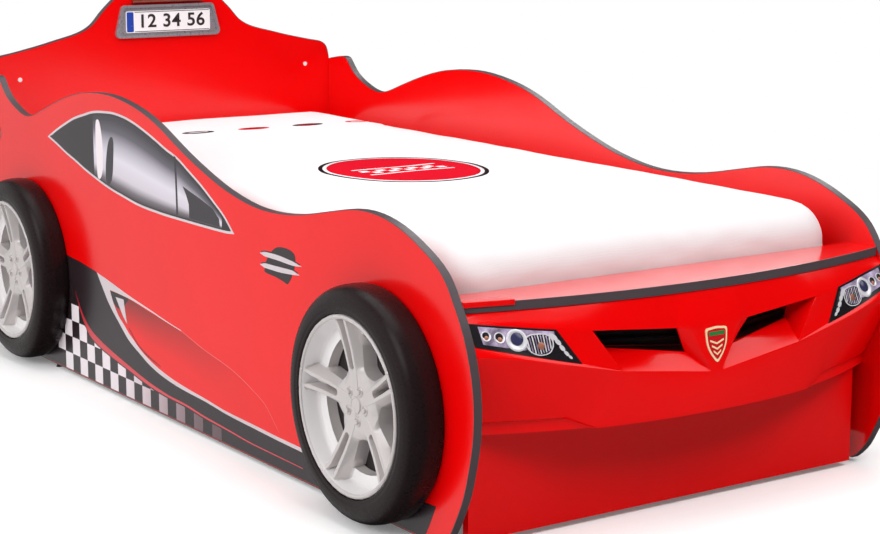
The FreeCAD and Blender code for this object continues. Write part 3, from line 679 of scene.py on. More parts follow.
def half_sector():
    """Angles and heights of one half of a spoke unit, from its centreline to the middle of the window."""
    rows = []
    for r in RROWS:
        rr = max(r, 1.0)
        top = float(np.interp(r, [0, 46, 60, 100, 140, 153, 158], [46, 46, 46.4, 51, 58.5, 62.5, 66]))
        b = barrel(r)
        R = float(np.interp(r, [0, 31, 158], [10.0, 11, 17.5]))
        w = float(np.interp(r, [0, 68, 140, 153], [6.0, 6.4, 8.5, 12.0]))
        cone = float(np.interp(r, [0, 45, 64], [46, 46, 37]))
        if r < 63:
            w_open, fl = 0.0, top
        else:
            w_open = w * math.sqrt(max(0.0, 1 - ((68.5 - min(r, 68.5)) / 6.0) ** 2))
            fl = b
        sb = float(np.interp(r, [0, 62, 70, 100, 135, 153], [22, 22.5, 23.0, 24, 26, 27]))
        pr = min(math.asin(min(0.95, R / rr)), math.radians(21))
        ps = min(math.asin(min(0.95, max(w_open, 0.25) / rr)), pr * 0.8)
        pw = min(math.asin(min(0.95, sb / rr)), math.radians(27))
        if r < 62:
            pw = math.radians(27)
            pb = math.radians(34.8)
            zb, wf = cone, cone
        else:
            f = min(1.0, (r - 62) / 8.0)
            f = math.sqrt(max(0.0, 1 - (1 - f) ** 2))
            pb = math.radians(34.8) * (1 - f) + min(pw, math.radians(34)) * f
            zb = float(np.interp(r, [62, 70, 153], [38, 36, 36]))
            wf = b
        if r >= 153:
            k = (r - 153) / 5.0
            top = zb = fl = wf = b
        else:
            top = max(top, b)
            zb = max(zb, b)
        H = math.radians(36)
        e = min(0.6 / rr, 0.01)
        pt = [(0, fl), (ps * 0.5, fl), (ps - e * 0.6, fl), (ps, top - 1.0 if r > 63 else top), (ps + e * 0.8, top), (pr * 0.5 + (ps + e) * 0.5, top - 0.2),
              (pr - e, top), (pr + e * 0.6, top - 0.8)]
        for s in (0.33, 0.66, 1.0):
            if r >= 62:
                z = (top - 0.8) * (1 - s) + zb * s
            else:
                z = min(top, float(np.interp(pr + (pb - pr) * s, [pr, math.radians(34.8)], [top - 0.3, cone])))
            pt.append((pr + e * 0.6 + (pb - pr - e * 0.6) * s, z))
        pt.append((min(pb + e, H - 0.012), wf if r >= 62 else zb))
        for s in (0.35, 0.7, 1.0):
            a0 = min(pb + e, H - 0.012)
            pt.append((a0 + (H - a0) * s, wf if r >= 62 else cone))
        rows.append(pt)
    return rows


HS = half_sector()
NJ = len(HS[0])


def rim_mesh():
    """Rim in its own frame of height, angle and radius: returns the points ring by ring, as (angle, height) for each
    radius in RROWS.
    """
    rings = []
    for i, r in enumerate(RROWS):
        ring = []
        for k in range(5):
            base = math.radians(100 + 72 * k)
            left = [(base - a, z) for a, z in reversed(HS[i][1:])][1:]
            right = [(base + a, z) for a, z in HS[i]]
            ring += left + right
        rings.append(ring)
    return rings


def place_wheel(xc, yc, side, a, r, h):
    # angles are seen from outside on the left side with the nose to the right; the other side is its mirror image
    return (xc + side * h, yc - r * math.cos(a), WZ + r * math.sin(a))


NAMES = {(-1, 0): "front_left", (1, 0): "front_right", (-1, 1): "rear_left", (1, 1): "rear_right"}
for side in (-1, 1):
    for wi, yc in enumerate(WY):
        tag = NAMES[(side, wi)]
        xc = side * HALF
        S = Solid()
        lathe(S, tyre_profile(), (xc, yc, WZ), (side, 0, 0), (0, 0, 1), 144)
        o = from_solid("tyre_shell_" + tag, S, ["tyre"], slot="tyre_plastic", sharp=40)
        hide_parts("tyre_" + tag)
        rings = rim_mesh()
        n = len(rings[0])
        v, f, idx = [(xc + side * 46, yc, WZ)], [], []
        for i in range(1, len(rings)):
            for a, z in rings[i]:
                v.append(place_wheel(xc, yc, side, a, RROWS[i], z))
        for k in range(n):
            f.append((0, 1 + k, 1 + (k + 1) % n))
            idx.append(0)
        for i in range(1, len(rings) - 1):
            for k in range(n):
                k2 = (k + 1) % n
                a, b = 1 + (i - 1) * n + k, 1 + (i - 1) * n + k2
                f.append((a, b, b + n, a + n))
                hm = (rings[i][k][1] + rings[i][k2][1] + rings[i + 1][k][1] + rings[i + 1][k2][1]) / 4
                bmn = (barrel(RROWS[i]) + barrel(RROWS[i + 1])) / 2
                # barrel faces take the lighter copy of the rim plastic, a painted highlight; the deep window floors,
                # like the back cap below, take rim_shadow, a near-black painted shade
                idx.append(1 if hm < 20 else 2 if 124 < RROWS[i] < 153 and abs(hm - bmn) < 2.5 else 0)
        last = 1 + (len(rings) - 2) * n
        for h in (60.0, 3.0):
            for a, z in rings[-1]:
                v.append(place_wheel(xc, yc, side, a, 162.4, h))
        v.append((xc + side * 3.0, yc, WZ))
        for lv in range(2):
            for k in range(n):
                k2 = (k + 1) % n
                a, b = last + lv * n + k, last + lv * n + k2
                f.append((a, b, b + n, a + n))
                idx.append(0)
        for k in range(n):
            f.append((last + 2 * n + k, last + 2 * n + (k + 1) % n, len(v) - 1))
            idx.append(1)
        o = add("rim_cover_" + tag, v, f, ["rim", "rim_dark", "rim_barrel_painted_highlight"], slot="rim_plastic", idx=idx, sharp=28)
        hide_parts("rim_" + tag)
# nuts in their cups, and centre caps
S, C = Solid(), Solid()
for side in (-1, 1):
    for yc in WY:
        xc = side * (HALF + 46)
        for k in range(5):
            a = math.radians(136 + 72 * k)
            c = (xc, yc - 29 * math.cos(a), WZ + 29 * math.sin(a))
            lathe(S, [(-0.5, 0.0), (-0.5, 9.6), (0.6, 9.2), (1.3, 8.4), (1.2, 7.6), (0.2, 7.0), (0.12, 6.0), (0.1, 0.0)], c, (side, 0, 0), (0, 0, 1), 32, 0,
                  closed=False)
            lathe(S, [(-0.3, 0.0), (-0.3, 4.6), (3.0, 4.6), (4.2, 3.8), (4.4, 0.0)], c, (side, 0, 0), (0, math.sin(a), math.cos(a)), 6, 0, closed=False)
        lathe(C, [(-0.5, 0.0), (-0.5, 15.5), (1.4, 15.2), (2.2, 14.2), (2.3, 12.6), (1.6, 11.8), (2.4, 8.0), (3.0, 4.0), (3.2, 0.0)],
              (xc, yc, WZ), (side, 0, 0), (0, 0, 1), 48, 0, closed=False)
o = from_solid("lug_nuts", S, ["rim"], slot="rim_plastic")
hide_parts("wheel_nuts")
o = from_solid("hub_caps", C, ["rim"], slot="rim_plastic")
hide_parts("wheel_centre_caps")

# ------------------------------------------------------------------ nose shell
def trow(x):
    t = x / 477.0
    return (x, -6 + 67 * t * t, 415.2)


HX = [0, 57.5, 81, 258, 325, 362, 400, 440, 476.6]
HYY = [-27, -26, -20, -9, 4, 14.5, 25.6, 36, 44]
HZZ = [359, 359, 357.5, 373, 381, 385.5, 390.7, 396.4, 402]


def hrow(x):
    if x <= 57.5:
        return (x, -27 + x / 57.5, 359.0)
    if x <= 81:
        s = (x - 57.5) / 23.5
        return (x, -26 + 6 * s, 359 - 1.5 * s)
    if x <= 258:
        s = (x - 81) / 177.0
        return (x, -20 + 11 * s, 357.5 + 15.5 * s)
    return (x, float(pchip(HX[3:], HYY[3:], [x])[0]), float(pchip(HX[3:], HZZ[3:], [x])[0]))


def brow(x):
    t = x / 477.0
    return (x, -22.2 + 6.2 * t ** 2 + 38.5 * t ** 4, 285.8 + 108.9 * t ** 2 - 28.5 * t ** 4)


def krow(x):
    if x <= 12:
        return (x, -35.0, 274 + x / 12.0)
    t = x / 477.0
    p = (x, -24.6 + 0.6 * t ** 2 + 39.3 * t ** 4, 277.0 + 129.6 * t ** 2 - 56.9 * t ** 4)
    if x >= 203:
        return p
    k2 = krow(203.0)
    s = (x - 12) / 191.0
    return (x, -35 + (k2[1] + 35) * s, 275 + (k2[2] - 275) * s)


LX = [297, 325, 362, 400, 440, 476.6]
LYY = [6, 14.4, 27, 42, 59, 75.8]


def lrow(x):
    return (x, float(pchip(LX, LYY, [x])[0]), 226.0)


def seg(f, a, b, n):
    return [f(a + (b - a) * i / n) for i in range(n + 1)]


def line(p, q, n):
    return [tuple(np.array(p, float) * (1 - i / n) + np.array(q, float) * i / n) for i in range(n + 1)]


def ruled(A, B, m, bulge=0.0, fade=(False, False)):
    """Grid between rows A and B of equal length; bulge lifts the middle towards -y."""
    n = len(A) - 1
    g = []
    for i in range(n + 1):
        u = i / n
        k = 1.0
        if fade[0]:
            k *= min(1.0, u * 5)
        if fade[1]:
            k *= min(1.0, (1 - u) * 5)
        for j in range(m + 1):
            v = j / m
            p = np.array(A[i], float) * (1 - v) + np.array(B[i], float) * v
            p[1] -= bulge * 4 * v * (1 - v) * k
            g.append(tuple(p))
    return g, n, m


K1, K2, K3 = krow(12.0), krow(203.0), krow(284.0)
GT, G1, G2 = (229, 28, 362.5), (217, 26, 332), (52.6, -10, 310)
H0, H1, H2, H3 = hrow(0.0), hrow(57.5), hrow(81.0), hrow(258.0)
B0 = brow(284.0)
h_all = seg(hrow, 0, 57.5, 4) + seg(hrow, 57.5, 81, 4)[1:] + seg(hrow, 81, 258, 24)[1:] + seg(hrow, 258, 325, 12)[1:] + seg(hrow, 325, 476.6, 28)[1:]
k_all = seg(krow, 0, 12, 4) + seg(krow, 12, 203, 24)[1:] + seg(krow, 203, 284, 12)[1:] + seg(krow, 284, 476.6, 28)[1:]


def crow(x):
    return (x, -31 + 22 * (x / 243.0) ** 2, 202.0)


C1, L0 = (243, -9, 202), (297, 6, 226)
c_all = seg(crow, 0, 12, 4) + seg(crow, 12, 243, 24)[1:] + line(C1, L0, 12)[1:] + seg(lrow, 297, 476.6, 28)[1:]
D1, M0 = (248, -2, 202), (299, 14, 222.5)
mm = [(p[0] + 1.5 if i == 0 else p[0], p[1] + 8, 222.5) for i, p in enumerate(seg(lrow, 297, 476.6, 28))]
m_all = line(D1, M0, 12) + mm[1:]
e_all = line((248, -1.6, 201.9), (299, 14.4, 202), 12) + [(p[0], p[1] + 0.4, 202.0) for p in mm][1:]
patches = []
patches.append(ruled([trow(p[0]) for p in h_all], h_all, 8, 1.6))                                   # hood
lamp_top, lamp_bot = seg(hrow, 325, 476.6, 28), seg(brow, 284, 476.6, 28)
patches.append(ruled(lamp_top, lamp_bot, 14, 0.0))                                                  # lamp bed
patches.append(ruled(seg(hrow, 258, 325, 12), line(K2, B0, 12), 14, 0.0))                           # between grille and lamp
patches.append(ruled(line(K2, B0, 12) + lamp_bot[1:], seg(krow, 203, 284, 12) + seg(krow, 284, 476.6, 28)[1:], 3, 0.5, (True, False)))
patches.append(ruled(line(H1, K1, 10), line(H0, krow(0.0), 10), 4, 0.0))                            # nose front
patches.append(ruled(line(H1, K1, 10), line(H2, G2, 10), 4, 0.0))                                   # nose side
patches.append(ruled(line(K1, K2, 24), line(G2, G1, 24), 4, 0.0))                                   # ledge
patches.append(ruled(line(H3, K2, 14), line(GT, G1, 14), 4, 0.0))                                   # outer side of the recess
patches.append(ruled(k_all, c_all, 16, 2.2))                                                        # lower face
patches.append(ruled(c_all[28:], m_all, 2, 0.0))                                                    # raised edge
patches.append(ruled(m_all, e_all, 3, 0.0))                                                         # band below it
V, F = [], []
for g, n, m in patches:
    for sgn in (1, -1):
        F += grid_faces(n, m, len(V))
        V += [(sgn * p[0], p[1], p[2]) for p in g]
bm = bmesh.new()
bv = [bm.verts.new(W(p)) for p in V]
for f in F:
    try:
        bm.faces.new([bv[i] for i in f])
    except ValueError:
        pass
bmesh.ops.remove_doubles(bm, verts=bm.verts, dist=0.00006)
bmesh.ops.dissolve_degenerate(bm, edges=bm.edges, dist=0.00001)
bmesh.ops.recalc_face_normals(bm, faces=bm.faces)
bm.verts.ensure_lookup_table()
bm.faces.ensure_lookup_table()
hood = min(bm.faces, key=lambda q: (q.calc_center_median() - Vector(W((20, -20, 385)))).length)
if hood.normal.y > 0:
    bmesh.ops.reverse_faces(bm, faces=bm.faces)
front = [v.co.copy() for v in bm.verts]
fidx = [[v.index for v in q.verts] for q in bm.faces]
bound = [(e.verts[0].index, e.verts[1].index) for e in bm.edges if len(e.link_faces) == 1]
bm.free()
k = len(front)
bv = front + [c + Vector((0, 0.0034, 0)) for c in front]
bf = [tuple(f) for f in fidx] + [tuple(i + k for i in reversed(f)) for f in fidx]
bf += [(a, b, b + k, a + k) for a, b in bound]
nose = add("nose_cover", [(c.x * 1000, c.y * 1000 + YM, c.z * 1000) for c in bv], bf, "abs", slot="red_abs", sharp=180, bevel=2.0)
nose.data.set_sharp_from_angle(angle=math.radians(60))
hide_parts("nose_shell")


# ------------------------------------------------------------------ grille: a dark duct with louvres behind the opening
S = Solid()
for sg in (-1, 1):
    a, b, c, d = (42, 20, 366), (246, 50, 374), (230, 46, 320), (28, 14, 300)
    g1, n1, m1 = ruled(line(a, b, 12), line(d, c, 12), 6)
    fr = [(sg * p[0], p[1], p[2]) for p in g1]
    bk = [(sg * p[0], p[1] + 3, p[2]) for p in g1]
    v, f = slab(fr, bk, n1, m1)
    S.put(v, f, 0)
    for s in (0.25, 0.5, 0.75):
        p0 = np.array(a) * (1 - s) + np.array(d) * s
        p1 = np.array(b) * (1 - s) + np.array(c) * s
        top = line(p0 + (3, -9, 1.5), p1 + (-3, -9, 1.5), 8)
        low = line(p0 + (2, -2, -4.0), p1 + (-2, -2, -4.0), 8)
        fr, n2, m2 = ruled(top, low, 3)
        fr = [(sg * p[0], p[1], p[2]) for p in fr]
        bk = [(p[0], p[1] + 2.0, p[2] - 0.5) for p in fr]
        v, f = slab(fr, bk, n2, m2)
        S.put(v, f, 1)
o = from_solid("grille_duct", S, ["black", "gloss_black"], slot="black_plastic")
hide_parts("grille_backing")


# ------------------------------------------------------------------ headlights
def lamp_pt(x, z, h):
    """Point on the lamp bed at x > 0 and height z, h in front of it."""
    if x < 325:
        f = (x - 284) / 41.0
        hy, hz = -15.2 + 19.2 * f, 320.8 + 60.2 * f
    else:
        hy, hz = hrow(x)[1:]
    _, by, bz = brow(x)
    v = (z - bz) / max(hz - bz, 1e-6)
    return (x, by + (hy - by) * v - h, z)


def lamp_frame(x, z, h):
    p = np.array(lamp_pt(x, z, h))
    du = np.array(lamp_pt(x + 3, z, h)) - np.array(lamp_pt(x - 3, z, h))
    dv = np.array(lamp_pt(x, z + 3, h)) - np.array(lamp_pt(x, z - 3, h))
    n = np.cross(du, dv)
    n /= np.linalg.norm(n)
    if n[1] > 0:
        n = -n
    return p, n, dv / np.linalg.norm(dv)


def dome(S, x, z, prof, mat, sg, seg=40, up_tilt=None):
    p, n, up = lamp_frame(x, z, 0.0)
    lathe(S, prof, (sg * p[0], p[1], p[2]), (sg * n[0], n[1], n[2]), (sg * up[0], up[1], up[2]), seg, mat, closed=False)


for sg, tag in ((-1, "left"), (1, "right")):
    S = Solid()
    g, n, m = ruled(lamp_top, lamp_bot, 14)
    lim = lambda p, h: (sg * min(p[0], 476.2), p[1] - h, p[2])
    v, f = slab([lim(p, 1.2) for p in g], [lim(p, 0.15) for p in g], n, m)
    S.put(v, f, 0)
    # silver panel along the top
    top, bot = [], []
    for i in range(31):
        x = 461 - (461 - 330) * i / 30.0
        hz, bz = hrow(max(x, 325))[2], brow(x)[2]
        u = i / 30.0
        top.append(lamp_pt(x, hz - 3.2, 1.2))
        zb = bz + (hz - bz) * (0.18 if u < 0.55 else 0.18 + 0.45 * min(1, (u - 0.55) / 0.3))
        bot.append(lamp_pt(x, zb, 1.2))
    g, n, m = ruled(top, bot, 5)
    v, f = slab([(sg * p[0], p[1] - 0.5, p[2]) for p in g], [(sg * p[0], p[1], p[2]) for p in g], n, m)
    S.put(v, f, 1)
    # two small reflectors
    for x, z, r in ((452.1, 379.9, 9.0), (429.1, 375.6, 10.0)):
        dome(S, x, z, [(1.5, 0.0), (1.5, r), (2.6, r), (3.0, r - 0.8), (2.2, r - 1.8), (1.9, r - 3), (1.8, 0.0)], 2, sg)
        dome(S, x, z + 1.6, [(1.7, 0.0), (1.7, r * 0.72), (2.3, r * 0.66), (2.5, 0.0)], 0, sg)
        dome(S, x, z - 2.2, [(1.9, 0.0), (1.9, r * 0.45), (2.6, r * 0.36), (3.0, 0.0)], 3, sg)
    # projector with its bright shroud
    dome(S, 399.4, 369.5, [(1.5, 0.0), (1.5, 19.5), (2.4, 19.5), (3.4, 17.8), (3.2, 15.5), (2.2, 13.8), (2.0, 0.0)], 2, sg, 56)
    dome(S, 399.0, 371.3, [(2.0, 0.0), (2.0, 11.4), (3.2, 11.4), (3.8, 10.2), (4.6, 7.0), (5.0, 3.5), (5.1, 0.0)], 4, sg, 48)
    # fluted lens: rounded trapezoid with ribs
    out = smooth_loop([(386, 369), (374, 377), (346, 376), (335, 366), (336, 354), (346, 344.5), (366, 343.5), (382, 352)], 5)
    poly(S, [(a, b) for a, b in out], lambda a, b, h: (sg * lamp_pt(a, b, h)[0],) + lamp_pt(a, b, h)[1:], 1.2, 2.2, 2)
    inn = [(360.5 + (a - 360.5) * 0.9, 360.5 + (b - 360.5) * 0.9) for a, b in out]
    poly(S, inn, lambda a, b, h: (sg * lamp_pt(a, b, h)[0],) + lamp_pt(a, b, h)[1:], 1.3, 2.5, 0)
    for k2 in range(9):
        x = 341.0 + 5.0 * k2
        dz = 15.0 * math.sqrt(max(0.05, 1 - ((x - 361) / 25.0) ** 2))
        zc = 361.0
        rib = []
        for i in range(9):
            z = zc + dz * (1 - 2 * i / 8.0)
            rib.append((x, z))
        A = [lamp_pt(a + 1.3, b, 2.5) for a, b in rib]
        B = [lamp_pt(a - 1.3, b, 2.5) for a, b in rib]
        g, n, m = ruled(A, B, 4)
        fr = []
        for i in range(n + 1):
            for j in range(m + 1):
                p = g[i * (m + 1) + j]
                hh = 0.9 * math.sin(math.pi * j / m) * (1 - (2 * i / n - 1) ** 4) + 0.05
                fr.append((sg * p[0], p[1] - hh, p[2]))
        bk = [(sg * p[0], p[1] + 0.2, p[2]) for p in g]
        v, f = slab(fr, bk, n, m)
        S.put(v, f, 1 if k2 % 2 else 2)
    dome(S, 358.0, 357.0, [(2.4, 0.0), (2.4, 6.5), (3.6, 6.0), (4.2, 3.5), (4.4, 0.0)], 3, sg, 32)
    # bright strip on the inner side
    for k2, (x, z, a, b) in enumerate(((333.0, 370.0, 7.0, 5.0), (326.0, 361.0, 5.5, 4.6), (319.5, 350.5, 5.0, 4.6), (312.5, 341.0, 4.6, 3.8),
                                       (306.0, 334.5, 3.6, 2.6))):
        pts = [(x + a * math.cos(t), z + b * math.sin(t) + 0.9 * a * math.cos(t) * 0.6) for t in np.linspace(0, 2 * math.pi, 28, endpoint=False)]
        poly(S, pts, lambda p, q, h: (sg * lamp_pt(p, q, h)[0],) + lamp_pt(p, q, h)[1:], 1.1, 2.1 + 0.1 * (k2 % 2), 2)
    o = from_solid("headlight_unit_" + tag, S, ["gloss_black", "lavender", "chrome", "copper", "lens_blue"], slot="headlight", sharp=40)
    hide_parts("headlight_" + tag)


# ------------------------------------------------------------------ badge: a plain striped shield
def nose_y(z):
    return -27 + (359 - z) * (-8.0 / 85.0)


def badge_place(x, z, h):
    return (x, nose_y(z) - h, z)


S = Solid()
half = [(0, 290), (8, 297), (16.5, 309), (22, 322), (24, 336), (23.4, 349), (12, 351.5), (0, 352.5)]
loop = half + [(-a, b) for a, b in reversed(half[1:-1])]
loop = smooth_loop(loop, 4)
sc = lambda k: [(a * k, 326 + (b - 326) * k) for a, b in loop]
poly(S, sc(1.0), badge_place, -0.3, 1.4, 0)
poly(S, sc(0.86), badge_place, 0.5, 1.7, 1)
poly(S, [(-17, 337), (17, 337), (18, 344), (-18, 344)], badge_place, 1.0, 1.95, 2)
for k2 in range(3):
    z = 327 - 9.5 * k2
    w = 15.5 - 3.6 * k2
    poly(S, [(-w, z), (0, z - 6), (w, z), (w, z + 3.2), (0, z - 2.8), (-w, z + 3.2)], badge_place, 1.0, 1.95, 0)
o = from_solid("badge_shield", S, ["cream", "enamel", "green"], slot="badge", sharp=30)
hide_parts("badge_plate")

# ------------------------------------------------------------------ number plate with plain digits
HY = 2073.3
S = Solid()


def plate_place(x, z, h):
    return (x, HY - 7 - h, z)


def rounded(x0, x1, z0, z1, r, n=6):
    p = []
    for cx, cz, a0 in ((x1 - r, z1 - r, 0), (x0 + r, z1 - r, 90), (x0 + r, z0 + r, 180), (x1 - r, z0 + r, 270)):
        for k3 in range(n + 1):
            a = math.radians(a0 + 90.0 * k3 / n)
            p.append((cx + r * math.cos(a), cz + r * math.sin(a)))
    return p


poly(S, rounded(-118, 118, 737, 791, 5), plate_place, -2.0, 0.0, 0)
poly(S, rounded(-116, -97, 739, 789, 3), plate_place, -0.5, 0.25, 1)
for a, b, c, d in ((-94, 115, 787.6, 789.2), (-94, 115, 738.8, 740.4)):
    poly(S, rounded(a, b, c, d, 0.5, 2), plate_place, -0.5, 0.3, 2)
o = from_solid("plate_sheet", S, ["plate_white", "plate_blue", "digits"], slot="plate_white")
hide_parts("number_plate")
cu = bpy.data.curves.new("plate_digits", "FONT")
cu.body = "12 34 56"
cu.align_x = "CENTER"
cu.align_y = "CENTER"
cu.size = 0.050
cu.extrude = 0.0004
cu.offset = 0.0009
cu.space_character = 1.06
to = bpy.data.objects.new("plate_digits_curve", cu)
bpy.context.scene.collection.objects.link(to)
bpy.context.view_layer.update()
dg = bpy.context.evaluated_depsgraph_get()
me = bpy.data.meshes.new_from_object(to.evaluated_get(dg))
bpy.data.objects.remove(to)
bm = bmesh.new()
bm.from_mesh(me)
bmesh.ops.remove_doubles(bm, verts=bm.verts, dist=0.00001)
for v in bm.verts:
    x, y, z = v.co
    v.co = Vector((x * 1.0 + 0.009, (HY - 7.25 - YM) / 1000 - z, 0.764 + y * 0.92))
bmesh.ops.recalc_face_normals(bm, faces=bm.faces)
bm.to_mesh(me)
bm.free()
me.materials.clear()
me.materials.append(M["digits"])
me.polygons.foreach_set("material_index", [0] * len(me.polygons))
od = bpy.data.objects.new("plate_digits", me)
bpy.context.scene.collection.objects.link(od)
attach(od, "bed_frame")

# ------------------------------------------------------------------ mattresses: foam under a stitched cover
rng = np.random.default_rng(7)
WAVES = [(rng.uniform(2, 9), rng.uniform(0, 2 * math.pi), rng.uniform(0, 2 * math.pi), rng.uniform(0.2, 1.0)) for _ in range(26)]


def ripple(x, y, z=0.0):
    """Gentle unevenness, about +-1, from metres."""
    s = 0.0
    for f, a, ph, amp in WAVES:
        s = s + amp / f * np.sin(2 * math.pi * f * (x * np.cos(a) + y * np.sin(a) + 0.7 * z) + ph)
    return s


def cushion(name, x1, y0, y1, z0, z1, R, mat, pipe, slot, replaces_node, body, seed, fold_y=None, full=1.0, seams=(1, -1)):
    """Rounded box with a crowned top, soft corners, puckers along the seams and two piped seams."""
    cx, cy, cz = 0.0, (y0 + y1) / 2, (z0 + z1) / 2
    ax, ay, az = x1, (y1 - y0) / 2, (z1 - z0) / 2

    def axis(a, n, r):
        core = np.linspace(-(a - r), a - r, n)
        e = np.array([-(a) + r * (1 - math.cos(t)) for t in np.linspace(0, math.pi / 2, 7)])[:-1]
        return np.concatenate([e, core, -e[::-1]])

    def grid(u, v):
        return np.meshgrid(u, v, indexing="ij")

    gx, gy, gz = axis(ax, 60, R), axis(ay, 124, R), axis(az, 10, min(R, az * 0.6))
    V2, F2 = [], []

    def wrap(P):
        # pull the box's surface on to a rounded one
        P = P.copy()
        core = np.stack([np.clip(P[..., 0], -(ax - R), ax - R), np.clip(P[..., 1], -(ay - R), ay - R),
                         np.clip(P[..., 2], -(az - min(R, az * 0.95)), az - min(R, az * 0.95))], -1)
        d = P - core
        rz = min(R, az * 0.95)
        d[..., 2] *= R / rz
        ln = np.linalg.norm(d, axis=-1, keepdims=True)
        d = d / np.maximum(ln, 1e-9) * R
        d[..., 2] *= rz / R
        return core + d

    faces6 = []
    for fixed, sgn in ((2, 1), (2, -1), (0, 1), (0, -1), (1, 1), (1, -1)):
        a, b = [(gx, gy), (gy, gz), (gx, gz)][{2: 0, 0: 1, 1: 2}[fixed]]
        A, B = grid(a, b)
        if fixed == 2:
            P = np.stack([A, B, np.full_like(A, sgn * az)], -1)
        elif fixed == 0:
            P = np.stack([np.full_like(A, sgn * ax), A, B], -1)
        else:
            P = np.stack([A, np.full_like(A, sgn * ay), B], -1)
        P = wrap(P)
        n, m = P.shape[0] - 1, P.shape[1] - 1
        faces6.append((P.reshape(-1, 3), n, m))
    for P, n, m in faces6:
        F2 += grid_faces(n, m, len(V2))
        V2 += [tuple(p) for p in P]
    V2 = np.array(V2)
    # surface normals of the rounded box
    core = np.stack([np.clip(V2[:, 0], -(ax - R), ax - R), np.clip(V2[:, 1], -(ay - R), ay - R),
                     np.clip(V2[:, 2], -(az - min(R, az * 0.95)), az - min(R, az * 0.95))], -1)
    nr = V2 - core
    nr /= np.maximum(np.linalg.norm(nr, axis=1, keepdims=True), 1e-9)
    w = V2 / 1000.0
    up = np.clip(nr[:, 2], 0, 1)
    side = 1 - np.abs(nr[:, 2])
    # crown, slack and puckers
    ex = np.clip(1 - (np.abs(V2[:, 0]) / ax) ** 4, 0, 1)
    ey = np.clip(1 - (np.abs(V2[:, 1]) / ay) ** 8, 0, 1)
    disp = up * (ripple(w[:, 0] + seed, w[:, 1], 0) * 1.1 - (1 - ex * ey) * 3.0 * full)
    tt = V2[:, 1] + V2[:, 0] * 0.9
    pk = np.sin(tt / 19.0 + 1.6 * np.sin(tt / 71.0 + seed)) * np.sin(tt / 43.0 + seed * 2)
    zrel = V2[:, 2] / az
    disp -= side * (1.6 + 1.9 * pk * np.exp(-((zrel - 0.55) / 0.4) ** 2) + 0.8 * ripple(w[:, 0] * 2, w[:, 1] * 2, w[:, 2] * 6))
    disp += side * 1.4 * (1 - zrel ** 2) * full
    if fold_y is not None:
        yy = V2[:, 1] + cy + (V2[:, 0] - 120) * 0.10
        disp += up * (1.6 / (1 + np.exp(-(yy - fold_y) / 3.0)) - 1.4 * np.exp(-((yy - fold_y) / 5.0) ** 2))
    disp = np.minimum(disp, 0.6)
    V2 = V2 + nr * disp[:, None] * np.array([1, 1, 1.0])
    V2 += np.array([cx, cy, cz])
    o = add(name, V2.tolist(), F2, mat, body=body, slot=slot, weld=0.05, sharp=180)
    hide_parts(replaces_node)
    # piping along the top and bottom edges
    S = Solid()
    for zs in seams:
        rr = R
        sa = 0.5
        inset = R * (1 - math.sqrt(1 - sa * sa)) + 1.6
        corner = [((ax - rr), (ay - rr), 0), (-(ax - rr), (ay - rr), 90), (-(ax - rr), -(ay - rr), 180), ((ax - rr), -(ay - rr), 270)]
        ring = []
        for px, py, a0 in corner:
            for t in np.linspace(0, 90, 13):
                a = math.radians(a0 + t)
                ring.append((px + (rr - inset) * math.cos(a), py + (rr - inset) * math.sin(a)))
        pts = []
        for i in range(len(ring)):
            p, q = np.array(ring[i]), np.array(ring[(i + 1) % len(ring)])
            nseg = max(1, int(np.linalg.norm(q - p) / 18))
            for s in range(nseg):
                pts.append(p + (q - p) * s / nseg)
        pts = np.array(pts)
        zc = zs * (az - R * 0.5)
        nn = len(pts)
        v, f = [], []
        for i in range(nn):
            tg = pts[(i + 1) % nn] - pts[i - 1]
            tg /= np.linalg.norm(tg)
            nrm = np.array([tg[1], -tg[0]])
            for k3 in range(8):
                a = 2 * math.pi * k3 / 8
                r = 2.1 + 0.15 * math.sin(i * 1.7)
                c = pts[i] + nrm * (r * math.cos(a))
                v.append((cx + c[0], cy + c[1], cz + zc + r * math.sin(a)))
        for i in range(nn):
            for k3 in range(8):
                a, b = i * 8 + k3, i * 8 + (k3 + 1) % 8
                c, d = ((i + 1) % nn) * 8 + (k3 + 1) % 8, ((i + 1) % nn) * 8 + k3
                f.append((a, b, c, d))
        S.put(v, f, 0)
    pp = from_solid(name + "_piping", S, [pipe], slot=slot, body=body, sharp=180)
    return o, (V2, cx, cy)


mat_obj, (MV, _, _) = cushion("mattress_cover", 448, 128, 2071, 342.3, 516.0, 76.0, "fabric", "piping", "mattress_fabric", "mattress", "bed_frame",
                              0.3, fold_y=1690.0, seams=(-1,))
cushion("trundle_mattress_cover", 426, 100, 2020, 74.3, 189, 22.0, "fabric2", "piping", "mattress_fabric", "trundle_mattress", "trundle", 1.7)

# prints on the mattress lie on its top surface
from mathutils.bvhtree import BVHTree

bvh = BVHTree.FromPolygons([v.co for v in mat_obj.data.vertices], [p.vertices[:] for p in mat_obj.data.polygons])


def top_z(x, y):
    h = bvh.ray_cast(Vector(W((x, y, 700))), Vector((0, 0, -1)))
    return h[0].z * 1000 if h[0] is not None else 516.0


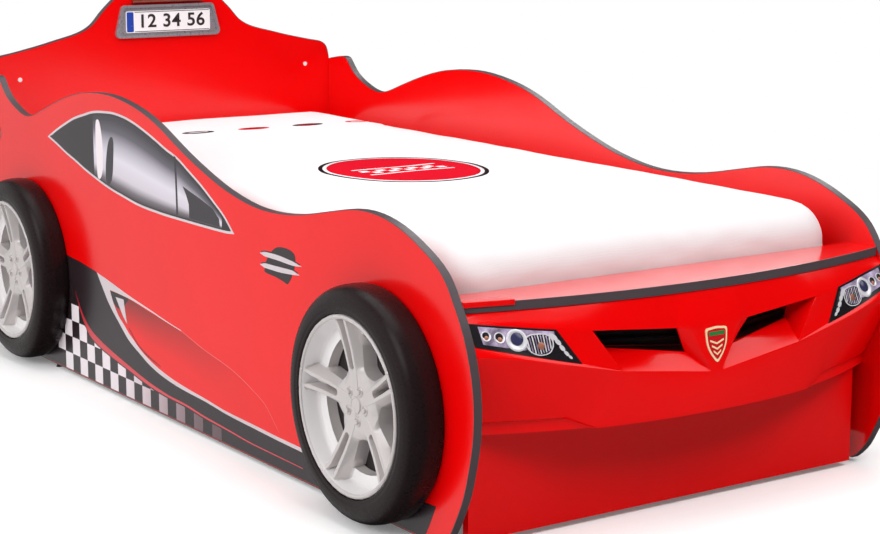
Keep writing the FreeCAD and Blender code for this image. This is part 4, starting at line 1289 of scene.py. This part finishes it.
def on_top(S, ring_fn, n_r, n_t, h, mat):
    """Disc-like print: ring_fn(s, t) gives the point for radius share s and angle t."""
    v = [ring_fn(0.0, 0.0)]
    f = []
    for i in range(1, n_r + 1):
        for k3 in range(n_t):
            v.append(ring_fn(i / n_r, 2 * math.pi * k3 / n_t))
    for k3 in range(n_t):
        f.append((0, 1 + k3, 1 + (k3 + 1) % n_t))
    for i in range(n_r - 1):
        for k3 in range(n_t):
            a, b = 1 + i * n_t + k3, 1 + i * n_t + (k3 + 1) % n_t
            f.append((a, b, b + n_t, a + n_t))
    k = len(v)
    top = [(x, y, top_z(x, y) + h) for x, y in v]
    bot = [(x, y, top_z(x, y) - 0.4) for x, y in v]
    last = [1 + (n_r - 1) * n_t + k3 for k3 in range(n_t)]
    ff = f + [tuple(i + k for i in reversed(q)) for q in f]
    for a, b in zip(last, last[1:] + last[:1]):
        ff.append((a, b, b + k, a + k))
    S.put(top + bot, ff, mat)


def quad_on_top(S, pts4, n, m, h, mat):
    a, b, c, d = [np.array(p, float) for p in pts4]
    fr, bk = [], []
    for i in range(n + 1):
        for j in range(m + 1):
            u, w = i / n, j / m
            p = (a * (1 - u) + b * u) * (1 - w) + (d * (1 - u) + c * u) * w
            z = top_z(p[0], p[1])
            fr.append((p[0], p[1], z + h))
            bk.append((p[0], p[1], z - 0.4))
    v, f = slab(fr, bk, n, m)
    S.put(v, f, mat)


S = Solid()
EX, EY = -19.0, 942.0
for a, b, h, mt in ((173, 197, 0.35, 1), (164, 187, 0.5, 2), (156, 178, 0.65, 0)):
    on_top(S, lambda s, t: (EX + a * s * math.cos(t), EY + b * s * math.sin(t)), 12, 96, h, mt)
# plain motif: a row of checks between two bars
for k2 in range(-5, 5):
    for r in range(2):
        if (k2 + r) % 2:
            continue
        x0, y0 = EX + 20 * k2, EY - 20 + 20 * r
        quad_on_top(S, [(x0 + 0.1, y0 + 0.1), (x0 + 19.9, y0 + 0.1), (x0 + 19.9, y0 + 19.9), (x0 + 0.1, y0 + 19.9)], 3, 3, 0.8, 2)
for dy in (-42, 34):
    quad_on_top(S, [(EX - 104, EY + dy), (EX + 104, EY + dy), (EX + 104, EY + dy + 8), (EX - 104, EY + dy + 8)], 20, 2, 0.8, 2)
for k2, x in enumerate((-236, -86, 64, 214, 364)):
    y = 1742 - (x - 120) * 0.03
    m1, m2 = ((0, 2), (1, 2), (0, 1), (1, 0), (0, 2))[k2]
    on_top(S, lambda s, t: (x + 42 * s * math.cos(t), y + 20 * s * math.sin(t)), 4, 40, 0.35, m1)
    quad_on_top(S, [(x - 26, y - 4), (x + 26, y - 4), (x + 26, y + 4), (x - 26, y + 4)], 6, 2, 0.6, m2)
from_solid("mattress_prints", S, ["print_red", "print_black", "print_white"], slot="mattress_fabric", sharp=180)

# ------------------------------------------------------------------ floor, light, camera
floor_m = bpy.data.materials.new("floor")
floor_m.use_nodes = True
fb = floor_m.node_tree.nodes["Principled BSDF"]
fb.inputs["Base Color"].default_value = (0.93, 0.93, 0.93, 1)
fb.inputs["Emission Color"].default_value = (1, 1, 1, 1)
fb.inputs["Emission Strength"].default_value = 0.15
fb.inputs["Roughness"].default_value = 0.9
fb.inputs["Specular IOR Level"].default_value = 0.0
fnt = floor_m.node_tree
ftc = node(fnt, "ShaderNodeTexCoord")
fln = node(fnt, "ShaderNodeVectorMath", operation="LENGTH")
fnt.links.new(ftc.outputs["Object"], fln.inputs[0])
fnt.links.new(maprange(fnt, fln.outputs["Value"], 1.7, 2.9, 1.0, 0.0), fb.inputs["Alpha"])
fm = bpy.data.meshes.new("floor")
fm.from_pydata([(-3, -3, 0), (3, -3, 0), (3, 3, 0), (-3, 3, 0)], [], [(0, 1, 2, 3)])
fm.materials.append(floor_m)
floor = bpy.data.objects.new("floor", fm)
bpy.context.scene.collection.objects.link(floor)
floor.visible_glossy = False
floor.visible_diffuse = False
floor.visible_shadow = False
# a greyer sheet just below it gives the light that comes back up from the floor
under_m = bpy.data.materials.new("floor_bounce")
under_m.use_nodes = True
ub = under_m.node_tree.nodes["Principled BSDF"]
ub.inputs["Base Color"].default_value = (0.80, 0.80, 0.80, 1)
ub.inputs["Roughness"].default_value = 0.9
ub.inputs["Specular IOR Level"].default_value = 0.0
um2 = bpy.data.meshes.new("floor_bounce")
um2.from_pydata([(-3, -3, -0.002), (3, -3, -0.002), (3, 3, -0.002), (-3, 3, -0.002)], [], [(0, 1, 2, 3)])
um2.materials.append(under_m)
under = bpy.data.objects.new("floor_bounce", um2)
bpy.context.scene.collection.objects.link(under)
under.visible_camera = False
under.visible_glossy = False

world = bpy.data.worlds.new("studio")
bpy.context.scene.world = world
world.use_nodes = True
nt = world.node_tree
nt.nodes.clear()
out = node(nt, "ShaderNodeOutputWorld")
bg1, bg2 = node(nt, "ShaderNodeBackground"), node(nt, "ShaderNodeBackground")
mixs = node(nt, "ShaderNodeMixShader")
lp = node(nt, "ShaderNodeLightPath")
tc = node(nt, "ShaderNodeTexCoord")


def lobe(direction, lo, hi, val):
    d = Vector(direction).normalized()
    dot = node(nt, "ShaderNodeVectorMath", operation="DOT_PRODUCT")
    nt.links.new(tc.outputs["Generated"], dot.inputs[0])
    dot.inputs[1].default_value = d
    mr = node(nt, "ShaderNodeMapRange", interpolation_type="SMOOTHSTEP")
    nt.links.new(dot.outputs["Value"], mr.inputs["Value"])
    mr.inputs["From Min"].default_value = lo
    mr.inputs["From Max"].default_value = hi
    mr.inputs["To Max"].default_value = val
    return mr.outputs["Result"]


parts = [lobe((-0.66, 0.74, -0.12), 0.45, 0.92, 0.62), lobe((0, 0.25, 1), 0.72, 1.0, 0.5), lobe((-0.95, -0.1, 0.3), 0.6, 1.0, 0.2),
         lobe((0.62, -0.33, 0.71), 0.93, 0.99, 1.3), lobe((-0.66, -0.25, 0.70), 0.91, 0.985, 2.2)]
acc = None
for p in parts:
    if acc is None:
        acc = p
        continue
    ad = node(nt, "ShaderNodeMath", operation="ADD")
    nt.links.new(acc, ad.inputs[0])
    nt.links.new(p, ad.inputs[1])
    acc = ad.outputs[0]
ad = node(nt, "ShaderNodeMath", operation="ADD")
nt.links.new(acc, ad.inputs[0])
ad.inputs[1].default_value = 0.025
nt.links.new(ad.outputs[0], bg2.inputs["Strength"])
bg2.inputs["Color"].default_value = (1.0, 0.985, 0.985, 1)
bg1.inputs["Color"].default_value = (1, 1, 1, 1)
bg1.inputs["Strength"].default_value = 1.0
nt.links.new(lp.outputs["Is Camera Ray"], mixs.inputs[0])
nt.links.new(bg2.outputs[0], mixs.inputs[1])
nt.links.new(bg1.outputs[0], mixs.inputs[2])
nt.links.new(mixs.outputs[0], out.inputs[0])


def area(name, loc, target, size, power, color=(1, 1, 1), glossy=True):
    l = bpy.data.lights.new(name, "AREA")
    l.shape = "RECTANGLE"
    l.size, l.size_y = size
    l.energy = power
    l.color = color
    o = bpy.data.objects.new(name, l)
    o.location = loc
    d = Vector(target) - Vector(loc)
    o.rotation_euler = d.to_track_quat("-Z", "Y").to_euler()
    bpy.context.scene.collection.objects.link(o)
    o.visible_glossy = glossy
    o.visible_camera = False
    return o


area("top", (0, 0.2, 3.4), (0, 0.1, 0), (3.2, 3.6), 38)
area("front", (0.5, -3.8, 3.7), (0, -0.9, 0.35), (3.0, 1.6), 134, glossy=False)
area("left", (-4.2, -0.4, 1.9), (0, 0, 0.3), (4.0, 1.8), 78, glossy=False)
area("edge", (2.7, 1.4, 3.0), (0, -0.8, 0.4), (1.8, 1.4), 34)
area("head", (-0.5, -0.5, 2.3), (0.1, 1.0, 0.6), (1.6, 1.0), 12, glossy=False)

cam = bpy.data.cameras.new("camera")
cam.sensor_width = 36.0
cam.lens = 83.176
cam.clip_end = 200
co = bpy.data.objects.new("camera", cam)
co.location = (-2.3290, -3.6840, 1.1147)
co.rotation_euler = (math.radians(79.228), 0.0, math.radians(-33.965))
bpy.context.scene.collection.objects.link(co)
bpy.context.scene.camera = co
bpy.context.scene.view_settings.view_transform = "Standard"
bpy.context.scene.view_settings.look = "None"
